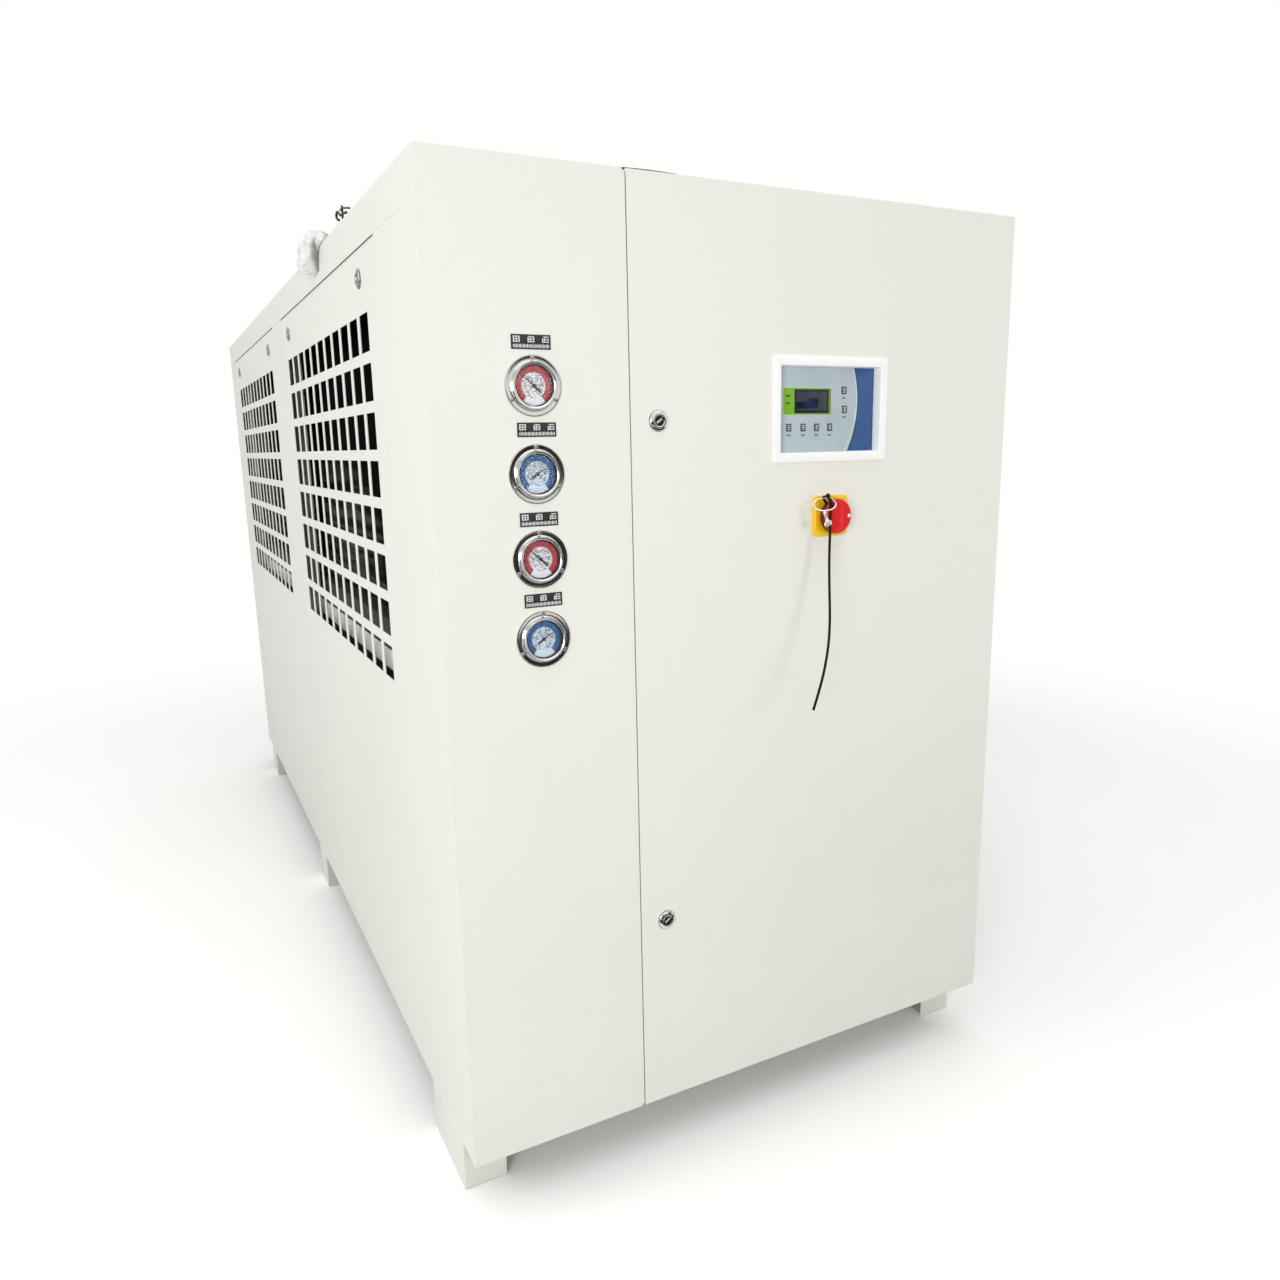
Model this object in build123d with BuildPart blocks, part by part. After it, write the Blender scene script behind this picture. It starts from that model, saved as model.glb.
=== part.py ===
from build123d import *
import math
import os

# Air-cooled water chiller. All sizes are millimetres, +Z is up and the front
# faces -Y. The origin is on the floor, under the middle of the housing.

# Housing
WIDTH = 1080
LENGTH = 2655
FOOT_HEIGHT = 95
SHELL_HEIGHT = 1500
SHEET = 2
LEFT = -WIDTH / 2
RIGHT = WIDTH / 2
FRONT = -1312
REAR = FRONT + LENGTH
BOTTOM = FOOT_HEIGHT
TOP = BOTTOM + SHELL_HEIGHT
SIDES = (("left", -1), ("right", 1))

# Front shell: a fixed gauge panel beside the door of the electrical cabinet
FRAME_FACE = FRONT + 70
DOOR_DEPTH = 64
GAUGE_PANEL_WIDTH = 299
DOOR_CLEARANCE = 6
DOOR_LEFT = LEFT + GAUGE_PANEL_WIDTH + DOOR_CLEARANCE
DOOR_CENTRE = (DOOR_LEFT + RIGHT) / 2

# Frame behind the skin: front corner, two bays of equal length, rear corner
BASE_HEIGHT = 57
FASCIA_HEIGHT = 63
FASCIA_BOTTOM = TOP - FASCIA_HEIGHT
CORNER_DEPTH = 247
MID_POST_WIDTH = 150
REAR_SHELL_DEPTH = 30
REAR_POST_WIDTH = 128
CABINET_BACK = FRONT + CORNER_DEPTH
REAR_FRAME = REAR - REAR_SHELL_DEPTH
REAR_POST_START = REAR_FRAME - REAR_POST_WIDTH
PANEL_WIDTH = (REAR_POST_START - CABINET_BACK - MID_POST_WIDTH) / 2
MID_POST_START = CABINET_BACK + PANEL_WIDTH
PANEL_BAYS = {"front": CABINET_BACK, "rear": MID_POST_START + MID_POST_WIDTH}
POSTS = {
    "front": (FRAME_FACE, CABINET_BACK),
    "mid": (MID_POST_START, PANEL_BAYS["rear"]),
    "rear": (REAR_POST_START, REAR_FRAME),
}
FOOT_LENGTH = 100
FEET = {
    "front": (FRAME_FACE, CABINET_BACK - FRAME_FACE),
    "mid": (PANEL_BAYS["rear"] - FOOT_LENGTH + 8, FOOT_LENGTH),
    "rear": (REAR_FRAME - 185, FOOT_LENGTH),
}
FOOT_WIDTH = 74

# Louvred side panels: slots and bars fill each panel between its plain margins
PANEL_BOTTOM = BOTTOM + BASE_HEIGHT
PANEL_TOP = FASCIA_BOTTOM - 6
PANEL_DEPTH = 20
PANEL_GAP = 3
SLOT_COLUMNS = 11
SLOT_ROWS = 8
SLOT_MARGIN = 75
SLOT_BAR = 17.4
SLOT_PITCH_Y = (PANEL_WIDTH - 2 * SLOT_MARGIN + SLOT_BAR) / SLOT_COLUMNS
SLOT_WIDTH = SLOT_PITCH_Y - SLOT_BAR
SLOT_HEIGHT = 60
SLOT_PITCH_Z = 78.4
SLOT_FIELD_TOP = TOP - 166
SLOT_FIELD_BOTTOM = SLOT_FIELD_TOP - SLOT_PITCH_Z * (SLOT_ROWS - 1) - SLOT_HEIGHT
PANEL_LOCK_INSET = 120
PANEL_LOCK_HEIGHT = PANEL_TOP - 41

# Roof fans, one over the middle of each bay
FAN_CENTRES = {place: y_start + PANEL_WIDTH / 2 for place, y_start in PANEL_BAYS.items()}
FAN_BORE = WIDTH / 2 - 90
COLLAR_LIP = FAN_BORE + 12
COLLAR_FLANGE = FAN_BORE + 22
COLLAR_HEIGHT = 68
BLADE_COUNT = 5
MOTOR_RADIUS = 128

# What repeats is drawn with flats, to keep the model light
RING_SIDES = 32
GUARD_SIDES = 18
GAUGE_SIDES = 16
SMALL_SIDES = 12

# Instruments on the front
GAUGE_X = LEFT + 151.6
GAUGE_TOP = TOP - 299.6
GAUGE_DROPS = (0, 122.2, 244, 362.2)
GAUGE_POINTS = [(GAUGE_X, GAUGE_TOP - drop) for drop in GAUGE_DROPS]
LABEL_OFFSETS = ((-0.6, 59), (2.9, 62), (0.9, 57.6), (2.4, 57.8))
LABEL_CENTRES = [(x + dx, z + dz) for (x, z), (dx, dz) in zip(GAUGE_POINTS, LABEL_OFFSETS)]
LABEL_SIZE = (59, 20)
GAUGE_FLANGE = 85
GAUGE_BEZEL = 66
GAUGE_GLASS = 57
DISPLAY_CENTRE = (DOOR_CENTRE - 16, TOP - 332.5)
DISPLAY_FRAME = (237, 170)
DISPLAY_WINDOW = (204, 135)
DISPLAY_RECESS = 17
SWITCH_CENTRE = (DOOR_CENTRE - 16.5, TOP - 507)
SWITCH_PLATE = 68
SWITCH_KNOB = 58
DOOR_LOCKS = [(DOOR_LEFT + 46, TOP - 349), (DOOR_LEFT + 47, BOTTOM + 335)]
LOCK_DIAMETER = 30

# Door hinges on the right side
HINGE_X = RIGHT + 9
HINGE_Y = FRAME_FACE + 1
HINGE_HEIGHTS = (BOTTOM + 220, TOP - 280)
KNUCKLE_LENGTH = 40
PIN_RADIUS = 4
KNUCKLE_RADIUS = 8
PIN_CLEARANCE = 0.3

os.makedirs("parts", exist_ok=True)


def save(part, name):
    part.label = name
    export_step(part, f"parts/{name}.step")


def facing_front(y):
    """Vertical plane at depth y: local x is X, local y is Z, normal to the front."""
    return Plane.XZ.offset(-y)


def patch(x0, x1, y0, y1, mode=Mode.ADD):
    """A rectangle between two corners of the current sketch."""
    with Locations(((x0 + x1) / 2, (y0 + y1) / 2)):
        Rectangle(x1 - x0, y1 - y0, mode=mode)


def discs(points, radius, sides):
    """Discs with flats, at points of the current sketch."""
    with Locations(points):
        RegularPolygon(radius, sides, rotation=180 / sides)


def soft_rectangle(width, height, cut, mode=Mode.ADD):
    """A rectangle with its corners cut off at 45 degrees."""
    half_w = width / 2
    half_h = height / 2
    corners = [
        (half_w, half_h - cut),
        (half_w - cut, half_h),
        (cut - half_w, half_h),
        (-half_w, half_h - cut),
        (-half_w, cut - half_h),
        (cut - half_w, -half_h),
        (half_w - cut, -half_h),
        (half_w, cut - half_h),
    ]
    Polygon(*corners, align=None, mode=mode)


# Base pan: floor sheet with a deep flange all round
with BuildPart() as base_pan:
    with BuildSketch(Plane.XY.offset(BOTTOM)):
        patch(LEFT, RIGHT, FRAME_FACE, REAR_FRAME)
    extrude(amount=BASE_HEIGHT)
    with BuildSketch(Plane.XY.offset(BOTTOM)):
        patch(LEFT + 3, RIGHT - 3, FRAME_FACE + 3, REAR_FRAME - 3)
    extrude(amount=BASE_HEIGHT - 3, mode=Mode.SUBTRACT)
save(base_pan.part, "base_pan")


# Feet: folded channels, open towards the middle of the machine
def foot_pair(y_start, length):
    with BuildPart() as foot:
        for _, side in SIDES:
            outer = side * WIDTH / 2
            inner = outer - side * FOOT_WIDTH
            x0, x1 = sorted((outer, inner))
            with BuildSketch(Plane.XY):
                patch(x0, x1, y_start, y_start + length)
            extrude(amount=FOOT_HEIGHT)
            x0, x1 = sorted((outer - side * 4, inner))
            with BuildSketch(Plane.XY.offset(5)):
                patch(x0, x1, y_start + 4, y_start + length - 4)
            extrude(amount=FOOT_HEIGHT - 5, mode=Mode.SUBTRACT)
    return foot.part


for place, (y_start, length) in FEET.items():
    save(foot_pair(y_start, length), f"{place}_feet")


# Corner and middle posts: folded channels, flush with the outer skin
def folded_post(y0, y1, side, height):
    flange = 42
    outer = side * WIDTH / 2
    with BuildPart() as post:
        with BuildSketch(Plane.XY.offset(BOTTOM + BASE_HEIGHT)):
            x0, x1 = sorted((outer, outer - side * flange))
            patch(x0, x1, y0, y1)
            x0, x1 = sorted((outer - side * SHEET, outer - side * (flange + 1)))
            patch(x0, x1, y0 + SHEET, y1 - SHEET, mode=Mode.SUBTRACT)
        extrude(amount=height)
    return post.part


POST_HEIGHT = FASCIA_BOTTOM - BOTTOM - BASE_HEIGHT
for place, (y0, y1) in POSTS.items():
    for side_name, side in SIDES:
        save(folded_post(y0, y1, side, POST_HEIGHT), f"{place}_post_{side_name}")

# Roof: one folded pan with two round fan openings
with BuildPart() as roof:
    with BuildSketch(Plane.XY.offset(FASCIA_BOTTOM)):
        patch(LEFT, RIGHT, FRAME_FACE, REAR_FRAME)
    extrude(amount=TOP - FASCIA_BOTTOM)
    with BuildSketch(Plane.XY.offset(FASCIA_BOTTOM)):
        patch(LEFT + SHEET, RIGHT - SHEET, FRAME_FACE + SHEET, REAR_FRAME - SHEET)
    extrude(amount=TOP - FASCIA_BOTTOM - SHEET, mode=Mode.SUBTRACT)
    with BuildSketch(Plane.XY.offset(TOP)):
        with Locations([(0, y) for y in FAN_CENTRES.values()]):
            RegularPolygon(FAN_BORE + 4, RING_SIDES)
    extrude(amount=-SHEET, mode=Mode.SUBTRACT)
save(roof.part, "roof")


# Fan collar: ring with a lip at the top, standing on a flange on the roof
def fan_collar(y):
    with BuildPart() as collar:
        for outer, z0, z1 in (
            (COLLAR_FLANGE, TOP, TOP + 3),
            (FAN_BORE + 3, TOP + 3, TOP + COLLAR_HEIGHT - 3),
            (COLLAR_LIP, TOP + COLLAR_HEIGHT - 3, TOP + COLLAR_HEIGHT),
        ):
            with BuildSketch(Plane.XY.offset(z0)):
                with Locations((0, y)):
                    RegularPolygon(outer, RING_SIDES)
            extrude(amount=z1 - z0)
        with BuildSketch(Plane.XY.offset(TOP)):
            with Locations((0, y)):
                RegularPolygon(FAN_BORE, RING_SIDES)
        extrude(amount=COLLAR_HEIGHT, mode=Mode.SUBTRACT)
    return collar.part


# Fan guard: a domed grille of flat rings on six cranked bars, on the collar's lip
GUARD_RINGS = [(FAN_BORE + 21, 70), (FAN_BORE + 12, 82), (0.71 * FAN_BORE, 125)]
GUARD_BARS = 6
GUARD_WIRE = 6
GUARD_CENTRE = 118
GUARD_TOP = 148


def fan_guard(y):
    bar_outline = [
        (FAN_BORE + 18, 70),
        (FAN_BORE + 11, COLLAR_HEIGHT),
        (FAN_BORE + 3, COLLAR_HEIGHT),
        (FAN_BORE + 3, 84),
        (0.71 * FAN_BORE - 3, 125),
        (GUARD_CENTRE - 8, GUARD_TOP + 1),
        (GUARD_CENTRE - 8, GUARD_TOP + 5),
        (0.71 * FAN_BORE, 130),
        (FAN_BORE + 11, 87),
        (FAN_BORE + 18, 75),
    ]
    with BuildPart() as guard:
        for radius, height in GUARD_RINGS:
            with BuildSketch(Plane.XY.offset(TOP + height)):
                with Locations((0, y)):
                    RegularPolygon(radius, GUARD_SIDES)
                    RegularPolygon(radius - GUARD_WIRE, GUARD_SIDES, mode=Mode.SUBTRACT)
            extrude(amount=GUARD_WIRE)
        with BuildSketch(Plane.XY.offset(TOP + GUARD_TOP)):
            with Locations((0, y)):
                RegularPolygon(GUARD_CENTRE, GUARD_SIDES)
        extrude(amount=GUARD_WIRE)
        for step in range(GUARD_BARS):
            angle = math.radians(360 / GUARD_BARS * (step + 0.5))
            bar_plane = Plane(
                origin=(0, y, TOP),
                x_dir=(math.cos(angle), math.sin(angle), 0),
                z_dir=(math.sin(angle), -math.cos(angle), 0),
            )
            with BuildSketch(bar_plane):
                with BuildLine():
                    Polyline(*bar_outline, close=True)
                make_face()
            extrude(amount=GUARD_WIRE / 2, both=True)
    return guard.part


# Fan rotor: motor can hung from the guard, with pitched blades that widen to the tip
BLADE_PITCH = 24
BLADE_TIP = FAN_BORE - 25


def fan_rotor(y):
    mid_height = TOP + 8
    with BuildPart() as rotor:
        with BuildSketch(Plane.XY.offset(mid_height - 55)):
            with Locations((0, y)):
                RegularPolygon(MOTOR_RADIUS, GUARD_SIDES)
        extrude(amount=110)
        with BuildSketch(Plane.XY.offset(mid_height + 55)):
            with Locations((0, y)):
                RegularPolygon(0.75 * MOTOR_RADIUS, GUARD_SIDES)
        extrude(amount=TOP + GUARD_TOP - mid_height - 55)
        for step in range(BLADE_COUNT):
            angle = math.radians(360 / BLADE_COUNT * step + 20)
            radial = Vector(math.cos(angle), math.sin(angle), 0)
            tangent = Vector(-math.sin(angle), math.cos(angle), 0)
            rise = math.radians(BLADE_PITCH)
            chord = tangent * math.cos(rise) + Vector(0, 0, math.sin(rise))
            blade_plane = Plane(
                origin=Vector(0, y, mid_height), x_dir=radial, z_dir=radial.cross(chord)
            )
            with BuildSketch(blade_plane):
                with BuildLine():
                    Polyline(
                        (MOTOR_RADIUS - 10, -62),
                        (0.62 * BLADE_TIP, -92),
                        (0.96 * BLADE_TIP, -112),
                        (BLADE_TIP, -84),
                        (BLADE_TIP, 66),
                        (0.97 * BLADE_TIP, 92),
                        (0.62 * BLADE_TIP, 84),
                        (MOTOR_RADIUS - 10, 66),
                        close=True,
                    )
                make_face()
            extrude(amount=3, both=True)
    return rotor.part


for place, y in FAN_CENTRES.items():
    save(fan_collar(y), f"fan_collar_{place}")
    save(fan_guard(y), f"fan_guard_{place}")
    save(fan_rotor(y), f"fan_rotor_{place}")


# Louvred side panel: shallow folded pan punched with a field of upright slots
def louvred_panel(y_start, side):
    outer = side * WIDTH / 2
    y0 = y_start + PANEL_GAP
    y1 = y_start + PANEL_WIDTH - PANEL_GAP
    slot_y = (y0 + y1) / 2
    slot_z = (SLOT_FIELD_TOP + SLOT_FIELD_BOTTOM) / 2
    with BuildPart() as panel:
        with BuildSketch(Plane.YZ.offset(outer)):
            patch(y0, y1, PANEL_BOTTOM, PANEL_TOP)
        extrude(amount=-side * PANEL_DEPTH)
        with BuildSketch(Plane.YZ.offset(outer - side * SHEET)):
            patch(y0 + SHEET, y1 - SHEET, PANEL_BOTTOM + SHEET, PANEL_TOP - SHEET)
        extrude(amount=-side * PANEL_DEPTH, mode=Mode.SUBTRACT)
        with BuildSketch(Plane.YZ.offset(outer)):
            with Locations((slot_y, slot_z)):
                with GridLocations(SLOT_PITCH_Y, SLOT_PITCH_Z, SLOT_COLUMNS, SLOT_ROWS):
                    Rectangle(SLOT_WIDTH, SLOT_HEIGHT)
        extrude(amount=-side * SHEET, mode=Mode.SUBTRACT)
    return panel.part


for place, y_start in PANEL_BAYS.items():
    for side_name, side in SIDES:
        save(louvred_panel(y_start, side), f"louvred_panel_{place}_{side_name}")

# Quarter-turn locks along the top of the side panels
with BuildPart() as panel_locks:
    for _, side in SIDES:
        outer = side * WIDTH / 2
        lock_points = []
        for y_start in PANEL_BAYS.values():
            lock_points.append((y_start + PANEL_LOCK_INSET, PANEL_LOCK_HEIGHT))
            lock_points.append((y_start + PANEL_WIDTH - PANEL_LOCK_INSET, PANEL_LOCK_HEIGHT))
        with BuildSketch(Plane.YZ.offset(outer)):
            with Locations(lock_points):
                RegularPolygon(LOCK_DIAMETER / 2, SMALL_SIDES)
        extrude(amount=side * 3)
save(panel_locks.part, "panel_locks")

# Gauge panel: fixed left part of the front shell, folded back to the frame
with BuildPart() as gauge_panel:
    with BuildSketch(facing_front(FRAME_FACE)):
        patch(LEFT, LEFT + GAUGE_PANEL_WIDTH, BOTTOM, TOP)
    extrude(amount=FRAME_FACE - FRONT)
    with BuildSketch(facing_front(FRAME_FACE)):
        patch(LEFT + SHEET, LEFT + GAUGE_PANEL_WIDTH - SHEET, BOTTOM + SHEET, TOP - SHEET)
    extrude(amount=FRAME_FACE - FRONT - SHEET, mode=Mode.SUBTRACT)
save(gauge_panel.part, "gauge_panel")

# Control door: folded pan with the openings of its instruments
with BuildPart() as control_door:
    with BuildSketch(facing_front(FRONT + DOOR_DEPTH)):
        patch(DOOR_LEFT, RIGHT, BOTTOM, TOP)
    extrude(amount=DOOR_DEPTH)
    with BuildSketch(facing_front(FRONT + DOOR_DEPTH)):
        patch(DOOR_LEFT + SHEET, RIGHT - SHEET, BOTTOM + SHEET, TOP - SHEET)
    extrude(amount=DOOR_DEPTH - SHEET, mode=Mode.SUBTRACT)
    with BuildSketch(facing_front(FRONT)):
        with Locations(DISPLAY_CENTRE):
            Rectangle(DISPLAY_WINDOW[0] + 8, DISPLAY_WINDOW[1] + 8)
        with Locations(SWITCH_CENTRE):
            RegularPolygon(12, SMALL_SIDES)
    extrude(amount=-SHEET, mode=Mode.SUBTRACT)
save(control_door.part, "control_door")

# Electrical cabinet behind the door: a deep tray with a framed mouth
with BuildPart() as electrical_cabinet:
    with BuildSketch(facing_front(CABINET_BACK)):
        patch(LEFT + 44, RIGHT - 44, BOTTOM + BASE_HEIGHT, FASCIA_BOTTOM)
    extrude(amount=CABINET_BACK - FRAME_FACE)
    with BuildSketch(facing_front(CABINET_BACK - SHEET)):
        patch(DOOR_LEFT + 60, RIGHT - 80, BOTTOM + 110, FASCIA_BOTTOM - 60)
    extrude(amount=CABINET_BACK - SHEET - FRAME_FACE, mode=Mode.SUBTRACT)
save(electrical_cabinet.part, "electrical_cabinet")

# Mounting plate on the back wall of the cabinet
with BuildPart() as mounting_plate:
    with BuildSketch(facing_front(CABINET_BACK - SHEET)):
        patch(DOOR_LEFT + 80, RIGHT - 100, BOTTOM + 140, FASCIA_BOTTOM - 90)
    extrude(amount=3)
save(mounting_plate.part, "mounting_plate")


# Hinges: the lower knuckle and pin belong to the frame, the upper one to the door
def hinge_knuckles(leaf_y0, leaf_y1, z_shift, with_pin):
    with BuildPart() as knuckles:
        for z in HINGE_HEIGHTS:
            with BuildSketch(Plane.XY.offset(z + z_shift)):
                with Locations((HINGE_X, HINGE_Y)):
                    RegularPolygon(KNUCKLE_RADIUS, GAUGE_SIDES)
                patch(RIGHT + 0.2, RIGHT + 3.2, leaf_y0, leaf_y1)
                patch(RIGHT + 0.2, HINGE_X, HINGE_Y - 1.5, HINGE_Y + 1.5)
                if not with_pin:
                    with Locations((HINGE_X, HINGE_Y)):
                        Circle(PIN_RADIUS + PIN_CLEARANCE, mode=Mode.SUBTRACT)
            extrude(amount=KNUCKLE_LENGTH)
            if with_pin:
                with BuildSketch(Plane.XY.offset(z + z_shift + KNUCKLE_LENGTH)):
                    with Locations((HINGE_X, HINGE_Y)):
                        Circle(PIN_RADIUS)
                extrude(amount=KNUCKLE_LENGTH - 4)
    return knuckles.part


save(hinge_knuckles(HINGE_Y, HINGE_Y + 42, 0, True), "hinge_frame_leaves")
save(hinge_knuckles(HINGE_Y - 42, HINGE_Y, KNUCKLE_LENGTH + 1, False), "hinge_door_leaves")

# Gauges: chrome flange and bezel in one piece, then dial, pointer and glass
BEZEL_FACE = FRONT - 10
DIAL_FACE = FRONT - 2
with BuildPart() as gauge_cases:
    with BuildSketch(facing_front(FRONT)):
        discs(GAUGE_POINTS, GAUGE_FLANGE / 2, GAUGE_SIDES)
    extrude(amount=2)
    with BuildSketch(facing_front(FRONT - 2)):
        discs(GAUGE_POINTS, GAUGE_BEZEL / 2, GAUGE_SIDES)
    extrude(amount=FRONT - 2 - BEZEL_FACE)
    with BuildSketch(facing_front(BEZEL_FACE)):
        discs(GAUGE_POINTS, GAUGE_GLASS / 2, GAUGE_SIDES)
    extrude(amount=BEZEL_FACE - FRONT + 1, mode=Mode.SUBTRACT)
save(gauge_cases.part, "gauge_cases")

with BuildPart() as gauge_dials:
    with BuildSketch(facing_front(FRONT - 1)):
        discs(GAUGE_POINTS, GAUGE_GLASS / 2, GAUGE_SIDES)
    extrude(amount=FRONT - 1 - DIAL_FACE)
save(gauge_dials.part, "gauge_dials")

with BuildPart() as gauge_needles:
    for index, point in enumerate(GAUGE_POINTS):
        lean = 45 if index % 2 == 0 else -45
        with BuildSketch(facing_front(DIAL_FACE)):
            with Locations(point):
                Polygon((-3, -9), (3, -9), (0.6, 23), (-0.6, 23), rotation=lean, align=None)
        extrude(amount=1.2)
save(gauge_needles.part, "gauge_needles")

with BuildPart() as gauge_glasses:
    with BuildSketch(facing_front(FRONT - 6)):
        discs(GAUGE_POINTS, GAUGE_GLASS / 2, GAUGE_SIDES)
    extrude(amount=2)
save(gauge_glasses.part, "gauge_glasses")

with BuildPart() as label_plates:
    with BuildSketch(facing_front(FRONT)):
        with Locations(LABEL_CENTRES):
            Rectangle(*LABEL_SIZE)
    extrude(amount=1)
save(label_plates.part, "label_plates")

# Locks of the door: round case with a sunk face
with BuildPart() as door_locks:
    with BuildSketch(facing_front(FRONT)):
        discs(DOOR_LOCKS, LOCK_DIAMETER / 2, SMALL_SIDES)
    extrude(amount=3)
    with BuildSketch(facing_front(FRONT - 3)):
        discs(DOOR_LOCKS, LOCK_DIAMETER / 2 - 4, SMALL_SIDES)
    extrude(amount=-2, mode=Mode.SUBTRACT)
save(door_locks.part, "door_locks")

# Controller: raised frame with a deep mouth and the keypad at its bottom
KEYPAD_BACK = FRONT - 4 + DISPLAY_RECESS + 4
with BuildPart() as display_frame:
    with BuildSketch(facing_front(FRONT)):
        with Locations(DISPLAY_CENTRE):
            soft_rectangle(*DISPLAY_FRAME, 4)
    extrude(amount=4)
    with BuildSketch(facing_front(KEYPAD_BACK)):
        with Locations(DISPLAY_CENTRE):
            Rectangle(DISPLAY_WINDOW[0] + 6, DISPLAY_WINDOW[1] + 6)
    extrude(amount=KEYPAD_BACK - FRONT)
    with BuildSketch(facing_front(KEYPAD_BACK)):
        with Locations(DISPLAY_CENTRE):
            Rectangle(*DISPLAY_WINDOW)
    extrude(amount=KEYPAD_BACK - FRONT + 4, mode=Mode.SUBTRACT)
save(display_frame.part, "display_frame")

with BuildPart() as display_panel:
    with BuildSketch(facing_front(KEYPAD_BACK)):
        with Locations(DISPLAY_CENTRE):
            Rectangle(*DISPLAY_WINDOW)
    extrude(amount=4)
save(display_panel.part, "display_panel")

# Main switch: square plate, stem and round knob with a padlock hole in its rim
PLATE_FACE = FRONT - 8
KNOB_BACK = FRONT - 14
KNOB_FACE = FRONT - 27
TIE_WIDTH = 4.8
TIE_THICKNESS = 1.4
HOLE_REACH = 21
RADIAL = Vector(-0.585, 0, 0.811)
with BuildPart() as switch_plate:
    with BuildSketch(facing_front(FRONT)):
        with Locations(SWITCH_CENTRE):
            soft_rectangle(SWITCH_PLATE, SWITCH_PLATE, 4)
    extrude(amount=FRONT - PLATE_FACE)
save(switch_plate.part, "switch_plate")

with BuildPart() as switch_knob:
    with BuildSketch(facing_front(PLATE_FACE)):
        discs([SWITCH_CENTRE], 17, SMALL_SIDES)
    extrude(amount=PLATE_FACE - KNOB_BACK)
    with BuildSketch(facing_front(KNOB_BACK)):
        with Locations(SWITCH_CENTRE):
            RegularPolygon(SWITCH_KNOB / 2, 2 * SMALL_SIDES)
    extrude(amount=KNOB_BACK - KNOB_FACE)
    with BuildSketch(facing_front(KNOB_BACK)):
        with Locations(
            (SWITCH_CENTRE[0] + RADIAL.X * HOLE_REACH, SWITCH_CENTRE[1] + RADIAL.Z * HOLE_REACH)
        ):
            RegularPolygon(3, 12)
    extrude(amount=KNOB_BACK - KNOB_FACE, mode=Mode.SUBTRACT)
save(switch_knob.part, "switch_knob")

# Cable tie: a slack loop through the padlock hole, with its head at the top.
# The loop's plane holds the knob's radius (local x) and the way out (local y).
KNOB_AXIS = Vector(SWITCH_CENTRE[0], FRONT, SWITCH_CENTRE[1])
loop_plane = Plane(origin=KNOB_AXIS, x_dir=RADIAL, z_dir=RADIAL.cross(Vector(0, -1, 0)))
with BuildPart() as tie_loop:
    with BuildSketch(loop_plane):
        with Locations(((HOLE_REACH - 0.7 + 42) / 2, (12.6 + 28.4) / 2)):
            soft_rectangle(42 - HOLE_REACH + 0.7, 15.8, 1.8)
            soft_rectangle(42 - HOLE_REACH - 2.1, 13, 1, mode=Mode.SUBTRACT)
        patch(39, 46, 26, 32)
    extrude(amount=TIE_WIDTH / 2, both=True)
save(tie_loop.part, "tie_loop")

# Key ring: a wire ring that passes through the loop and leans outwards
RING_RADIUS = 18
RING_ACROSS = Vector(0.772, -0.635, 0)
RING_UP = Vector(0.544, 0.662, 0.515)
RING_NORMAL = RING_ACROSS.cross(RING_UP)
ring_far_point = KNOB_AXIS + RADIAL * 37.5 + Vector(0, -18, 0)
ring_centre = ring_far_point - RING_UP * RING_RADIUS
with BuildPart() as key_ring:
    with BuildSketch(Plane(origin=ring_centre, x_dir=RING_UP, z_dir=RING_NORMAL)):
        RegularPolygon(RING_RADIUS + 1, 2 * SMALL_SIDES)
        RegularPolygon(RING_RADIUS - 1, 2 * SMALL_SIDES, mode=Mode.SUBTRACT)
    extrude(amount=0.9, both=True)
save(key_ring.part, "key_ring")

# Key on the ring: a slim shank that hangs by its end, with a two-lobed wing at the bottom
key_top = ring_centre - RING_UP * RING_RADIUS
with BuildPart() as switch_keys:
    with BuildSketch(Plane.XY.offset(key_top.Z - 19)):
        with Locations((key_top.X, key_top.Y)):
            RegularPolygon(3.2, SMALL_SIDES)
    extrude(amount=17.9)
    with BuildSketch(Plane.XY.offset(key_top.Z - 27)):
        with Locations((key_top.X, key_top.Y)):
            Rectangle(15, 4)
    extrude(amount=9)
save(switch_keys.part, "switch_keys")

# Long tail of the tie: it springs away from the door as it hangs
TAIL_OFFSETS = [
    (-23, 33.4, 31),
    (-22, 34, -18),
    (-26, 38, -75),
    (-35, 49, -119),
    (-41, 60, -161),
    (-47, 70, -195),
    (-67, 82, -233),
    (-86, 92, -272),
    (-102, 99, -303),
]
TAIL_POINTS = [
    (SWITCH_CENTRE[0] + dx, FRONT - out, SWITCH_CENTRE[1] + dz) for dx, out, dz in TAIL_OFFSETS
]


def corner_radius(before, at, after):
    """Fillet radius that uses 0.45 of the shorter run beside a corner."""
    run_in = Vector(at) - Vector(before)
    run_out = Vector(after) - Vector(at)
    turn = math.radians(run_in.get_angle(run_out))
    return 0.45 * min(run_in.length, run_out.length) / math.tan(turn / 2)


TAIL_RADII = [
    corner_radius(*TAIL_POINTS[i - 1 : i + 2]) for i in range(1, len(TAIL_POINTS) - 1)
]
print("tail radii", [round(r) for r in TAIL_RADII])

with BuildPart() as tie_tail:
    with BuildLine() as tail_path:
        FilletPolyline(*TAIL_POINTS, radius=TAIL_RADII)
    tail_start = Plane(origin=tail_path.line @ 0, z_dir=tail_path.line % 0, x_dir=(1, 0, 0))
    with BuildSketch(tail_start):
        Rectangle(TIE_WIDTH, TIE_THICKNESS)
    sweep()
TAIL_LENGTH = sum(edge.length for edge in tail_path.edges())
print("tail length", TAIL_LENGTH, "volume", tie_tail.part.volume)
print("section x length", TIE_WIDTH * TIE_THICKNESS * TAIL_LENGTH)
save(tie_tail.part, "tie_tail")

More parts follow.
